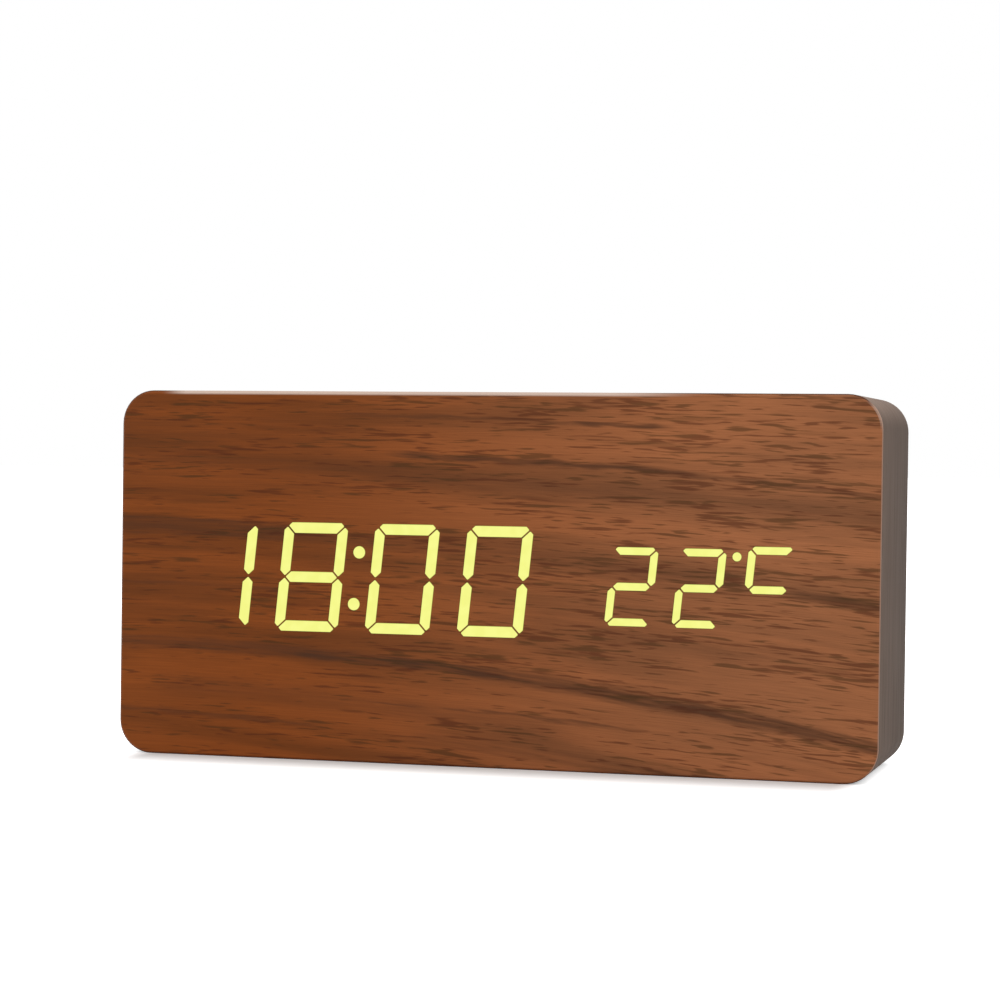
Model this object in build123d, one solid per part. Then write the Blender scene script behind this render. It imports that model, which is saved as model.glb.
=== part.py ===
"""Desk clock with lit figures behind a thin wooden face.

Millimetres. +X is to the right as the face is read, +Y runs from the face to the back, +Z is up.
The origin is the middle of the underside. Every sub-part is written to parts/ under its own name.
"""

import os
from dataclasses import dataclass
from math import sqrt

from build123d import *

# Case
case_width = 150.0
case_height = 71.5
case_depth = 38.0
case_corner_radius = 6.5
case_wall = 5.0
cavity_corner_radius = 1.5
wrap_thickness = 0.35
wrap_edge_round = 0.25
face_thickness = 0.6
face_edge_chamfer = 0.45
front_board_thickness = 3.0
front_board_gap = 0.1
rebate_width = 2.0
corner_block_side = 9.0
corner_block_depth = 14.0

# Figures on the face
time_shown = "18:00"
temperature_shown = "22C"
figure_lean_share = 0.1
segment_gap = 0.28
segment_round = 0.2
segment_seat = 0.06
time_figure_width = 13.0
time_figure_height = 21.1
time_figure_stroke = 2.05
time_figure_corner_cut = 1.45
time_figure_pitch = 18.5
time_drop = 0.25
colon_dot_radius = 1.2
colon_half_spacing = 5.0
temperature_figure_width = 8.9
temperature_figure_height = 14.8
temperature_figure_stroke = 1.45
temperature_figure_corner_cut = 1.05
temperature_figure_pitch = 12.9
temperature_drop = 0.55
unit_figure_width = 8.8
unit_figure_height = 16.0
degree_dot_radius = 0.85
degree_dot_from_top = 1.35

# Display blocks behind the face
housing_depth = 7.0
housing_margin = 2.0
housing_window_gap = 0.2
left_room_share = 0.265
right_room_share = 0.336
lens_depth = 4.5
chip_length = 1.6
chip_width = 0.8
chip_height = 0.6
pin_width = 0.5
pin_hole_radius = 0.5
pin_beyond_board = 1.2
pin_end_margin = 4.0
time_pin_count = 7
temperature_pin_count = 6

# Main board and what it carries
main_board_thickness = 1.6
main_board_edge_gap = 1.5
main_board_corner_radius = 2.0
board_hole_inset = 4.5
board_hole_gap = 0.15
spacer_radius = 3.0
spacer_bore_gap = 0.3
board_screw_radius = 1.25
board_screw_head_radius = 2.4
board_screw_head_height = 1.2
board_screw_bite = 2.2
screw_thread_gap = 0.05
screw_slot_width = 0.7
screw_slot_depth = 0.7
controller_length = 17.9
controller_width = 7.5
controller_height = 2.3
controller_leg_pitch = 1.27
controller_leg_count = 14
driver_length = 9.9
driver_width = 3.9
driver_height = 1.6
driver_leg_count = 8
leg_width = 0.4
leg_thickness = 0.25
leg_reach = 1.3
leg_foot = 0.7
chip_lift = 0.15
board_piece_gap = 1.0
buzzer_radius = 6.0
buzzer_height = 6.5
buzzer_hole_radius = 1.0
buzzer_hole_depth = 1.5
capacitor_radius = 3.15
capacitor_height = 5.8
capacitor_base_side = 6.6
capacitor_base_height = 1.2
crystal_radius = 1.0
crystal_length = 6.0
crystal_gap = 0.1
resistor_length = 2.0
resistor_width = 1.25
resistor_height = 0.5
resistor_pitch = 3.2
resistor_count = 8

# Rear cover
cover_thickness = 2.0
cover_recess = 1.5
cover_gap = 0.25
cover_edge_round = 0.4
cover_screw_radius = 1.3
cover_screw_head_radius = 2.6
cover_screw_head_height = 1.4
cover_screw_sink = 0.8
cover_screw_bite = 8.0
cover_screw_hole_gap = 0.2
vent_width = 1.2
vent_height = 8.0
vent_pitch = 2.6
vent_count = 5
sound_hole_radius = 0.9

# Battery compartment, cells, contacts and door
cell_radius = 5.25
cell_length = 44.5
cell_cap_radius = 1.9
cell_cap_height = 1.0
cell_edge_round = 0.5
cell_pitch = 10.9
cell_count = 4
cell_side_gap = 0.3
contact_room = 4.5
tray_wall = 1.8
tray_floor = 1.5
tray_right_share = 0.3
door_thickness = 1.6
door_lap = 1.5
door_gap = 0.3
door_corner_radius = 1.5
door_tab_height = 3.0
door_tab_thickness = 1.2
door_tab_depth = 3.0
door_notch_radius = 5.0
door_notch_depth = 0.6
door_ridge_length = 14.0
door_ridge_width = 0.8
door_ridge_height = 0.3
door_ridge_pitch = 2.0
door_ridge_count = 4
contact_thickness = 0.4
contact_height = 7.0
contact_depth = 6.0
spring_pad_height = 3.0
spring_bend_radius = 0.5

# Buttons, switches and the small rear board
button_count = 3
button_pitch = 12.0
button_rise = 11.0
button_radius = 2.8
button_proud = 1.0
button_round = 0.5
button_hole_gap = 0.3
button_travel = 0.3
button_flange_width = 1.0
button_flange_thickness = 0.8
button_stem_radius = 1.5
button_stem_length = 1.4
button_running_gap = 0.3
plunger_radius = 1.7
plunger_proud = 1.2
plunger_inside = 0.8
plunger_gap = 0.1
switch_side = 6.0
switch_height = 3.5
rear_board_thickness = 1.2
rear_board_left_share = 0.3
rear_board_width = 36.0
rear_board_height = 42.0
rear_board_corner_radius = 1.5
rear_board_hole_inset = 3.2
boss_radius = 2.5
rear_screw_radius = 1.0
rear_screw_head_radius = 1.9
rear_screw_head_height = 1.0
rear_screw_bite = 4.0

# Power inlet, microphone and temperature sensor on the rear board
inlet_width = 7.6
inlet_height = 2.9
inlet_wall = 0.3
inlet_corner_radius = 0.8
inlet_base_height = 2.0
inlet_cover_gap = 0.3
inlet_set_back = 0.3
inlet_offset = 6.0
inlet_drop = 12.0
tongue_width = 4.6
tongue_thickness = 0.7
tongue_set_back = 0.8
microphone_radius = 3.0
microphone_height = 4.5
microphone_offset = -5.0
microphone_drop = 12.0
sensor_offset = -12.5
sensor_drop = 7.5
sensor_width = 3.0
sensor_thickness = 1.8
sensor_height = 3.2
sensor_leg_radius = 0.25
sensor_leg_spacing = 1.4
sensor_leg_length = 2.5

# Cables inside the case
header_width = 12.5
header_thickness = 5.0
header_height = 3.5
rear_header_offset = 8.0
ribbon_width = 9.0
ribbon_thickness = 0.9
ribbon_shift = 13.0
ribbon_bend_radius = 1.6
lead_radius = 0.6
lead_inset = 3.0
lead_shift = 2.5
lead_bend_radius = 3.0

# One overrun serves every cut
overrun = 1.0

# Places worked out from the sizes above
face_front = -case_depth / 2
face_back = face_front + face_thickness
case_back = case_depth / 2
ring_back = case_back - wrap_thickness
mid_height = case_height / 2
front_board_back = face_back + front_board_thickness
main_board_front = face_back + housing_depth
main_board_back = main_board_front + main_board_thickness
cover_outer = case_back - cover_recess
cover_inner = cover_outer - cover_thickness
ring_width = case_width - 2 * wrap_thickness
ring_height = case_height - 2 * wrap_thickness
ring_corner_radius = case_corner_radius - wrap_thickness
cavity_width = ring_width - 2 * case_wall
cavity_height = ring_height - 2 * case_wall
rebate_opening_width = cavity_width + 2 * rebate_width
rebate_opening_height = cavity_height + 2 * rebate_width
rebate_corner_radius = cavity_corner_radius + rebate_width / 2
tray_width = cell_length + contact_room
tray_height = cell_count * cell_pitch + 2 * cell_side_gap
door_ledge = cover_outer - door_thickness - door_gap
tray_bottom = door_ledge - 2 * cell_radius - 2 * cell_side_gap
cell_axis = tray_bottom + cell_side_gap + cell_radius
flange_outer = cover_inner - button_running_gap
flange_inner = flange_outer - button_flange_thickness
stem_end = flange_inner - button_stem_length
switch_top = stem_end - plunger_proud
rear_board_back = switch_top - switch_height
rear_board_front = rear_board_back - rear_board_thickness
inlet_mouth = cover_outer - inlet_set_back
tray_outer_width = tray_width + 2 * tray_wall
tray_outer_height = tray_height + 2 * tray_wall
between_blocks = cavity_width - 2 * corner_block_side
rear_room = between_blocks - tray_outer_width - rear_board_width
tray_middle_x = between_blocks / 2 - tray_right_share * rear_room - tray_outer_width / 2
rear_board_middle_x = (
    rear_board_left_share * rear_room + rear_board_width / 2 - between_blocks / 2
)


@dataclass(frozen=True)
class Figure:
    """Outer size of one seven-segment figure before it is leaned over."""

    width: float
    height: float
    stroke: float
    corner_cut: float


@dataclass(frozen=True)
class PlacedSegment:
    """One segment: its outline on the face, its middle, and whether it stands upright."""

    outline: object
    middle: tuple
    upright: bool
    lit: bool


time_figure = Figure(
    time_figure_width, time_figure_height, time_figure_stroke, time_figure_corner_cut
)
temperature_figure = Figure(
    temperature_figure_width,
    temperature_figure_height,
    temperature_figure_stroke,
    temperature_figure_corner_cut,
)
unit_figure = Figure(
    unit_figure_width,
    unit_figure_height,
    temperature_figure_stroke,
    temperature_figure_corner_cut,
)

# Segments of each sign: a on top, then clockwise b to f, and g across the middle
segments_of_sign = {
    "0": "abcdef",
    "1": "bc",
    "2": "abdeg",
    "3": "abcdg",
    "4": "bcfg",
    "5": "acdfg",
    "6": "acdefg",
    "7": "abc",
    "8": "abcdefg",
    "9": "abcdfg",
    "C": "afg",
    "F": "aefg",
}
unit_segments = "aefg"


def prism(outline, front, back):
    """Solid with an outline drawn in X and Z, from the depth front to the depth back."""
    plane = Plane(origin=(0, back, 0), x_dir=(1, 0, 0), z_dir=(0, -1, 0))
    return extrude(plane * outline, amount=back - front)


def rod(x, z, radius, front, back):
    """Round solid whose axis runs from front to back."""
    return prism(Pos(x, z) * Circle(radius), front, back)


def plate(x, z, width, height, front, back, radius=0):
    """Flat solid facing front to back, with rounded corners where radius is given."""
    outline = RectangleRounded(width, height, radius) if radius else Rectangle(width, height)
    return prism(Pos(x, z) * outline, front, back)


def group(solids):
    """Separate solids kept together under one name."""
    return Compound([solid for item in solids for solid in item.solids()])


def row(count, pitch):
    """Offsets of evenly spaced copies about zero."""
    return [(index - (count - 1) / 2) * pitch for index in range(count)]


def corners(half_x, half_z):
    """The four corner points of a rectangle about zero."""
    return [(sx * half_x, sz * half_z) for sx in (-1, 1) for sz in (-1, 1)]


def edges_at_depth(shape, depth):
    """Edges that lie at one depth all along."""
    return [edge for edge in shape.edges() if is_at_depth(edge, depth)]


def is_at_depth(edge, depth):
    """True where both ends and the middle of an edge lie at one depth."""
    tolerance = overrun / 1e5
    return all(abs((edge @ share).Y - depth) < tolerance for share in (0, 0.5, 1))


# Seven-segment figures


def segment_points(letter, figure):
    """Corners of one upright segment about the middle of its figure."""
    w, h = figure.width / 2, figure.height / 2
    stroke, cut = figure.stroke, figure.corner_cut
    step = segment_gap / sqrt(2)
    near, far = (cut - step) / 2, (cut + step) / 2
    if letter == "g":
        end = w - stroke - step
        half = [(end, stroke / 2), (end + stroke / 2, 0), (end, -stroke / 2)]
    elif letter in "ad":
        half = [(w - cut, h), (w - far, h - near), (w - stroke - step, h - stroke)]
    else:
        column = [
            (w, h - cut),
            (w - near, h - far),
            (w - stroke, h - stroke - step),
            (w - stroke, step + stroke / 2),
            (w - stroke / 2, step),
            (w, step + stroke / 2),
        ]
        side = 1 if letter in "bc" else -1
        level = 1 if letter in "bf" else -1
        return [(side * x, level * z) for x, z in column]
    level = -1 if letter == "d" else 1
    return [(x, level * z) for x, z in half] + [(-x, level * z) for x, z in reversed(half)]


def lean(point):
    """A point moved sideways by the lean of the figures."""
    return (point[0] + figure_lean_share * point[1], point[1])


def place_segment(letter, figure, x, z, lit):
    """One segment, leaned, rounded and set at its figure's place on the face."""
    points = segment_points(letter, figure)
    outline = make_face(Polyline(*[lean(point) for point in points], close=True))
    outline = fillet(outline.vertices(), segment_round)
    middle_x = sum(point[0] for point in points) / len(points)
    middle_z = sum(point[1] for point in points) / len(points)
    leaned = lean((middle_x, middle_z))
    return PlacedSegment(
        Pos(x, z) * outline, (x + leaned[0], z + leaned[1]), letter in "bcef", lit
    )


def place_figure(figure, x, z, letters, lit_letters):
    """Every segment of one figure."""
    return [place_segment(each, figure, x, z, each in lit_letters) for each in letters]


def place_dot(x, z, radius):
    """A lit round dot."""
    return PlacedSegment(Pos(x, z) * Circle(radius), (x, z), True, True)


def block_size(figure_count, pitch, figure):
    """Width and height of the display block that holds a row of figures."""
    width = (figure_count - 1) * pitch + figure.width + figure_lean_share * figure.height
    return width + 2 * housing_margin, figure.height + 2 * housing_margin


time_signs = [sign for sign in time_shown if sign.isdigit()]
time_block_width, time_block_height = block_size(
    len(time_signs), time_figure_pitch, time_figure
)
temperature_block_width, temperature_block_height = block_size(
    len(temperature_shown), temperature_figure_pitch, unit_figure
)
face_room = cavity_width - time_block_width - temperature_block_width
time_x = left_room_share * face_room + time_block_width / 2 - cavity_width / 2
time_z = mid_height - time_drop
temperature_x = (
    cavity_width / 2 - right_room_share * face_room - temperature_block_width / 2
)
temperature_z = mid_height - temperature_drop
time_block = (time_x, time_z, time_block_width, time_block_height)
temperature_block = (
    temperature_x, temperature_z, temperature_block_width, temperature_block_height,
)

time_segments = []
for offset_x, sign in zip(row(len(time_signs), time_figure_pitch), time_signs):
    time_segments += place_figure(
        time_figure, time_x + offset_x, time_z, segments_of_sign["8"], segments_of_sign[sign]
    )

temperature_places = row(len(temperature_shown), temperature_figure_pitch)
temperature_segments = []
for offset_x, sign in zip(temperature_places, temperature_shown):
    figure = temperature_figure if sign.isdigit() else unit_figure
    letters = segments_of_sign["8"] if sign.isdigit() else unit_segments
    temperature_segments += place_figure(
        figure, temperature_x + offset_x, temperature_z, letters, segments_of_sign[sign]
    )

colon_places = [lean((0, level * colon_half_spacing)) for level in (1, -1)]
colon = [place_dot(time_x + x, time_z + z, colon_dot_radius) for x, z in colon_places]
degree_level = temperature_figure_height / 2 - degree_dot_from_top
degree_place = lean((temperature_places[-1] - temperature_figure_pitch / 2, degree_level))
degree = [
    place_dot(temperature_x + degree_place[0], temperature_z + degree_place[1], degree_dot_radius)
]


def lenses(segments, lit):
    """Lens of each segment: a lit one reaches the front of the face, a dark one its back."""
    front = face_front if lit else face_back
    chosen = [each for each in segments if each.lit == lit]
    return group([prism(each.outline, front, face_back + lens_depth) for each in chosen])


def openings_for(segments, front, back):
    """Cuts for segments, wider than each lens by the seat all round."""
    return [prism(offset(each.outline, segment_seat), front, back) for each in segments]


def light_chips(segments):
    """One small light source on the board behind each lens."""
    chips = []
    for each in segments:
        width, height = (chip_width, chip_length) if each.upright else (chip_length, chip_width)
        x, z = each.middle
        front = main_board_front - chip_height
        chips.append(plate(x, z, width, height, front, main_board_front))
    return chips


# Case


def outline_at_case(width, height, radius):
    """Rounded rectangle about the middle of the face."""
    return Pos(0, mid_height) * RectangleRounded(width, height, radius)


def make_case_ring():
    """Wooden ring with a rebate at the back for the rear cover."""
    ring = prism(
        outline_at_case(ring_width, ring_height, ring_corner_radius), face_back, ring_back
    )
    cavity = outline_at_case(cavity_width, cavity_height, cavity_corner_radius)
    rebate = outline_at_case(rebate_opening_width, rebate_opening_height, rebate_corner_radius)
    ring -= prism(cavity, face_back - overrun, ring_back + overrun)
    return ring - prism(rebate, cover_inner, ring_back + overrun)


def make_side_wrap():
    """Film round the sides, turned in over the rim at the back."""
    wrap = prism(
        outline_at_case(case_width, case_height, case_corner_radius), face_back, case_back
    )
    wrap = fillet(edges_at_depth(wrap, case_back), wrap_edge_round)
    inside = outline_at_case(ring_width, ring_height, ring_corner_radius)
    rebate = outline_at_case(rebate_opening_width, rebate_opening_height, rebate_corner_radius)
    wrap -= prism(inside, face_back - overrun, ring_back)
    return wrap - prism(rebate, face_back, case_back + overrun)


def make_face_film():
    """Thin wooden face with a cut front edge, open only where light comes through."""
    film = prism(
        outline_at_case(case_width, case_height, case_corner_radius), face_front, face_back
    )
    film = chamfer(edges_at_depth(film, face_front), face_edge_chamfer)
    shining = [each for each in time_segments + temperature_segments + colon + degree if each.lit]
    return film - openings_for(shining, face_front - overrun, face_back + overrun)


def make_front_board():
    """Board behind the face with a window for each display block and pilots for the screws."""
    width, height = cavity_width - 2 * front_board_gap, cavity_height - 2 * front_board_gap
    board = prism(
        outline_at_case(width, height, cavity_corner_radius), face_back, front_board_back
    )
    for x, z, window_width, window_height in (time_block, temperature_block):
        window_width += 2 * housing_window_gap
        window_height += 2 * housing_window_gap
        board -= plate(
            x, z, window_width, window_height, face_back - overrun, front_board_back + overrun
        )
    pilot = board_screw_radius + screw_thread_gap
    bottom = front_board_back - board_screw_bite - screw_thread_gap
    return board - [
        rod(x, z, pilot, bottom, front_board_back + overrun) for x, z in board_screw_places()
    ]


def make_corner_blocks():
    """Glued blocks in the four corners that take the rear cover's screws."""
    half_x = cavity_width / 2 - corner_block_side / 2
    half_z = cavity_height / 2 - corner_block_side / 2
    front = cover_inner - corner_block_depth
    pilot = cover_screw_radius + screw_thread_gap
    bottom = cover_screw_seat - cover_screw_length - screw_thread_gap
    blocks = []
    for x, z in corners(half_x, half_z):
        block = plate(
            x, mid_height + z, corner_block_side, corner_block_side, front, cover_inner,
            cavity_corner_radius,
        )
        blocks.append(block - rod(x, mid_height + z, pilot, bottom, cover_inner + overrun))
    return group(blocks)


# Display blocks


def pin_places(size, count):
    """Places of the two rows of pins along a display block."""
    x, z, width, height = size
    pitch = (width - 2 * pin_end_margin) / (count - 1)
    level = height / 2 - housing_margin / 2
    return [(x + dx, z + sign * level) for dx in row(count, pitch) for sign in (-1, 1)]


all_pin_places = pin_places(time_block, time_pin_count)
all_pin_places += pin_places(temperature_block, temperature_pin_count)


def make_housing(size, segments):
    """Block with one shaft for each segment."""
    x, z, width, height = size
    block = plate(x, z, width, height, face_back, main_board_front)
    return block - openings_for(segments, face_back - overrun, main_board_front + overrun)


def make_display_pins():
    """Square pins from the display blocks through the main board."""
    back = main_board_back + pin_beyond_board
    return group(
        [plate(x, z, pin_width, pin_width, main_board_front, back) for x, z in all_pin_places]
    )


# Screws


def screw(x, z, radius, head_radius, head_height, seat, end):
    """Screw whose head sits at the depth seat and whose tip reaches the depth end."""
    towards = 1 if seat > end else -1
    head_far = seat + towards * head_height
    body = rod(x, z, radius, min(seat, end), max(seat, end))
    body += rod(x, z, head_radius, min(seat, head_far), max(seat, head_far))
    slot_floor = head_far - towards * screw_slot_depth
    slot_out = head_far + towards * overrun
    front, back = min(slot_floor, slot_out), max(slot_floor, slot_out)
    for width, height in ((head_radius, screw_slot_width), (screw_slot_width, head_radius)):
        body -= plate(x, z, width, height, front, back)
    return body


main_board_width = cavity_width - 2 * main_board_edge_gap
main_board_height = cavity_height - 2 * main_board_edge_gap
cover_screw_seat = cover_outer - cover_screw_sink
cover_screw_length = cover_thickness - cover_screw_sink + cover_screw_bite


def board_screw_places():
    """Places of the four screws that hold the main board."""
    half_x = main_board_width / 2 - board_hole_inset
    half_z = main_board_height / 2 - board_hole_inset
    return [(x, mid_height + z) for x, z in corners(half_x, half_z)]


def cover_screw_places():
    """Places of the four screws that hold the rear cover."""
    half_x = cavity_width / 2 - corner_block_side / 2
    half_z = cavity_height / 2 - corner_block_side / 2
    return [(x, mid_height + z) for x, z in corners(half_x, half_z)]


def rear_board_screw_places():
    """Places of the four screws that hold the small rear board to its bosses."""
    half_x = rear_board_width / 2 - rear_board_hole_inset
    half_z = rear_board_height / 2 - rear_board_hole_inset
    return [
        (rear_board_middle_x + x, mid_height + z) for x, z in corners(half_x, half_z)
    ]


def make_board_screws():
    """Screws through the main board and its spacers into the front board."""
    end = front_board_back - board_screw_bite
    return group(
        [
            screw(
                x, z, board_screw_radius, board_screw_head_radius, board_screw_head_height,
                main_board_back, end,
            )
            for x, z in board_screw_places()
        ]
    )


def make_spacers():
    """Tubes between the front board and the main board."""
    bore = board_screw_radius + spacer_bore_gap
    return group(
        [
            rod(x, z, spacer_radius, front_board_back, main_board_front)
            - rod(x, z, bore, front_board_back - overrun, main_board_front + overrun)
            for x, z in board_screw_places()
        ]
    )


def make_cover_screws():
    """Screws through the rear cover into the corner blocks."""
    end = cover_screw_seat - cover_screw_length
    return group(
        [
            screw(
                x, z, cover_screw_radius, cover_screw_head_radius, cover_screw_head_height,
                cover_screw_seat, end,
            )
            for x, z in cover_screw_places()
        ]
    )


def make_rear_board_screws():
    """Screws through the rear board into the bosses of the cover."""
    end = rear_board_back + rear_screw_bite
    return group(
        [
            screw(
                x, z, rear_screw_radius, rear_screw_head_radius, rear_screw_head_height,
                rear_board_front, end,
            )
            for x, z in rear_board_screw_places()
        ]
    )


# Main board

# Places behind the time block, as shares of its half width and half height
controller_shares = (-0.15, 0.0)
buzzer_shares = (-0.75, 0.0)
crystal_shares = (-0.52, 0.62)
capacitor_shares = (-0.45, -0.25)


def behind_time_block(shares):
    """Place on the main board from shares of the time block's half width and half height."""
    return (
        time_x + shares[0] * time_block_width / 2,
        time_z + shares[1] * time_block_height / 2,
    )


controller_place = behind_time_block(controller_shares)
driver_reach = driver_width / 2 + leg_reach
driver_place = (
    temperature_x,
    temperature_z + temperature_block_height / 2 + board_piece_gap + driver_reach,
)
resistor_level = (
    temperature_z - temperature_block_height / 2 - board_piece_gap - resistor_length / 2
)
capacitor_level = (
    time_z - time_block_height / 2 - board_piece_gap - capacitor_base_side / 2
)


def make_main_board():
    """Board that carries the display blocks, with holes for pins and screws."""
    board = plate(
        0, mid_height, main_board_width, main_board_height, main_board_front, main_board_back,
        main_board_corner_radius,
    )
    front, back = main_board_front - overrun, main_board_back + overrun
    holes = [rod(x, z, pin_hole_radius, front, back) for x, z in all_pin_places]
    hole_radius = board_screw_radius + board_hole_gap
    holes += [rod(x, z, hole_radius, front, back) for x, z in board_screw_places()]
    return board - holes


def make_packaged_chip(place, length, width, height):
    """Moulded body of a chip, lifted a little off the board."""
    x, z = place
    return plate(x, z, length, width, main_board_back + chip_lift, main_board_back + height)


def make_legs(place, width, height, count):
    """Two rows of bent legs from a chip's sides down to the board."""
    x, z = place
    level = main_board_back + height / 2
    foot_top = main_board_back + leg_thickness
    legs = []
    for side in (-1, 1):
        wall = side * width / 2
        knee = wall + side * (leg_reach - leg_foot)
        toe = wall + side * leg_reach
        inner_knee = knee - side * leg_thickness
        profile = [
            (level, wall), (level, knee), (foot_top, knee), (foot_top, toe),
            (main_board_back, toe), (main_board_back, inner_knee),
            (level - leg_thickness, inner_knee), (level - leg_thickness, wall),
        ]
        for dx in row(count, controller_leg_pitch):
            plane = Plane(
                origin=(x + dx - leg_width / 2, 0, z), x_dir=(0, 1, 0), z_dir=(1, 0, 0)
            )
            face = make_face(Polyline(*profile, close=True))
            legs.append(extrude(plane * face, amount=leg_width))
    return group(legs)


def make_buzzer():
    """Round sounder with its sound hole."""
    x, z = behind_time_block(buzzer_shares)
    top = main_board_back + buzzer_height
    body = rod(x, z, buzzer_radius, main_board_back, top)
    return body - rod(x, z, buzzer_hole_radius, top - buzzer_hole_depth, top + overrun)


def make_capacitors():
    """Round smoothing capacitors on square feet."""
    cans = []
    for share in capacitor_shares:
        x, z = time_x + share * time_block_width / 2, capacitor_level
        base_top = main_board_back + capacitor_base_height
        foot = plate(x, z, capacitor_base_side, capacitor_base_side, main_board_back, base_top)
        cans.append(
            foot + rod(x, z, capacitor_radius, base_top, main_board_back + capacitor_height)
        )
    return group(cans)


def make_crystal():
    """Small metal can that lies on the main board."""
    x, z = behind_time_block(crystal_shares)
    axis = main_board_back + crystal_gap + crystal_radius
    plane = Plane(origin=(x, axis, z), x_dir=(0, 1, 0), z_dir=(1, 0, 0))
    return extrude(plane * Circle(crystal_radius), amount=crystal_length)


def make_resistors():
    """Row of small flat resistors."""
    x, z = temperature_x, resistor_level
    back = main_board_back + resistor_height
    return group(
        [
            plate(x + dx, z, resistor_width, resistor_length, main_board_back, back)
            for dx in row(resistor_count, resistor_pitch)
        ]
    )


# Rear cover, compartment and door


def button_places():
    """Places of the three buttons, from the one nearest the middle outwards."""
    places = [rear_board_middle_x - dx for dx in row(button_count, button_pitch)]
    return [(x, mid_height + button_rise) for x in places]


inlet_place = (rear_board_middle_x + inlet_offset, mid_height - inlet_drop)
microphone_place = (rear_board_middle_x + microphone_offset, mid_height - microphone_drop)
sensor_place = (rear_board_middle_x + sensor_offset, mid_height - sensor_drop)
tray_place = (tray_middle_x, mid_height)


def make_rear_cover():
    """Recessed back panel with the battery compartment and the bosses for the rear board."""
    cover = plate(
        0, mid_height,
        rebate_opening_width - 2 * cover_gap, rebate_opening_height - 2 * cover_gap,
        cover_inner, cover_outer, rebate_corner_radius,
    )
    cover = fillet(edges_at_depth(cover, cover_outer), cover_edge_round)
    cover += plate(
        *tray_place, tray_outer_width, tray_outer_height, tray_bottom - tray_floor, cover_inner
    )
    cover += [
        rod(x, z, boss_radius, rear_board_back, cover_inner)
        for x, z in rear_board_screw_places()
    ]
    return cover - cover_cuts()


def cover_cuts():
    """Everything that is cut out of the rear cover."""
    out = cover_outer + overrun
    inside = cover_inner - overrun
    lap = 2 * (door_lap + door_gap)
    cuts = [
        plate(*tray_place, tray_width, tray_height, tray_bottom, out),
        plate(
            *tray_place, tray_width + lap, tray_height + lap, door_ledge, out,
            door_corner_radius + door_gap,
        ),
    ]
    for x, z in cover_screw_places():
        cuts.append(rod(x, z, cover_screw_radius + cover_screw_hole_gap, inside, out))
        cuts.append(
            rod(x, z, cover_screw_head_radius + cover_screw_hole_gap, cover_screw_seat, out)
        )
    for x, z in rear_board_screw_places():
        pilot = rear_screw_radius + screw_thread_gap
        end = rear_board_back + rear_screw_bite + screw_thread_gap
        cuts.append(rod(x, z, pilot, rear_board_back - overrun, end))
    cuts += [rod(x, z, button_radius + button_hole_gap, inside, out) for x, z in button_places()]
    cuts.append(
        plate(
            *inlet_place, inlet_width + 2 * inlet_cover_gap, inlet_height + 2 * inlet_cover_gap,
            inside, out, inlet_corner_radius,
        )
    )
    cuts.append(rod(*microphone_place, sound_hole_radius, inside, out))
    cuts += [
        prism(Pos(sensor_place[0] + dx, sensor_place[1]) * upright_slot(), inside, out)
        for dx in row(vent_count, vent_pitch)
    ]
    return cuts


def upright_slot():
    """Outline of one vent, with round ends."""
    return Rot(0, 0, 90) * SlotOverall(vent_height, vent_width)


def make_battery_door():
    """Lift-off door with a finger notch, grip ridges and two locating tabs."""
    x, z = tray_place
    width, height = tray_width + 2 * door_lap, tray_height + 2 * door_lap
    inner = cover_outer - door_thickness
    door = plate(x, z, width, height, inner, cover_outer, door_corner_radius)
    notch_x = x - width / 2 + 2 * door_notch_radius
    door -= rod(
        notch_x, z, door_notch_radius, cover_outer - door_notch_depth, cover_outer + overrun
    )
    ridge_start = notch_x + door_notch_radius + door_ridge_pitch
    for index in range(door_ridge_count):
        ridge_x = ridge_start + index * door_ridge_pitch
        top = cover_outer + door_ridge_height
        door += plate(ridge_x, z, door_ridge_width, door_ridge_length, cover_outer, top)
    tab_x = x + tray_width / 2 - door_gap - door_tab_thickness / 2
    for level in (-cell_pitch, cell_pitch):
        door += plate(
            tab_x, z + level, door_tab_thickness, door_tab_height, inner - door_tab_depth, inner
        )
    return door


def cell_rows():
    """Height of each cell's axis and the side that its cap points to."""
    return [
        (mid_height + dz, 1 if index % 2 else -1)
        for index, dz in enumerate(row(cell_count, cell_pitch))
    ]


def along_x(profile_radius, start, end, height):
    """Round solid along X at the depth of the cells."""
    low = min(start, end)
    plane = Plane(origin=(low, cell_axis, height), x_dir=(0, 1, 0), z_dir=(1, 0, 0))
    return extrude(plane * Circle(profile_radius), amount=abs(end - start))


def make_cells():
    """Sleeves of the four cells."""
    cells = []
    for height, side in cell_rows():
        cap_tip = tray_middle_x + side * (tray_width / 2 - contact_thickness)
        cap_root = cap_tip - side * cell_cap_height
        tail = cap_tip - side * cell_length
        cell = along_x(cell_radius, cap_root, tail, height)
        cells.append(fillet(cell.edges().filter_by(GeomType.CIRCLE), cell_edge_round))
    return group(cells)


def make_cell_caps():
    """Raised terminal of each cell."""
    caps = []
    for height, side in cell_rows():
        cap_tip = tray_middle_x + side * (tray_width / 2 - contact_thickness)
        caps.append(along_x(cell_cap_radius, cap_tip - side * cell_cap_height, cap_tip, height))
    return group(caps)


def contact_plane(height):
    """Plane across the compartment on which the contacts are drawn in X and Z."""
    return Plane(
        origin=(tray_middle_x, cell_axis + contact_depth / 2, height),
        x_dir=(1, 0, 0),
        z_dir=(0, -1, 0),
    )


def make_flat_contacts():
    """Flat contacts that the cells' caps touch."""
    contacts = []
    for height, side in cell_rows():
        x = side * (tray_width / 2 - contact_thickness / 2)
        outline = Pos(x, 0) * Rectangle(contact_thickness, contact_height)
        contacts.append(extrude(contact_plane(height) * outline, amount=contact_depth))
    return group(contacts)


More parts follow.
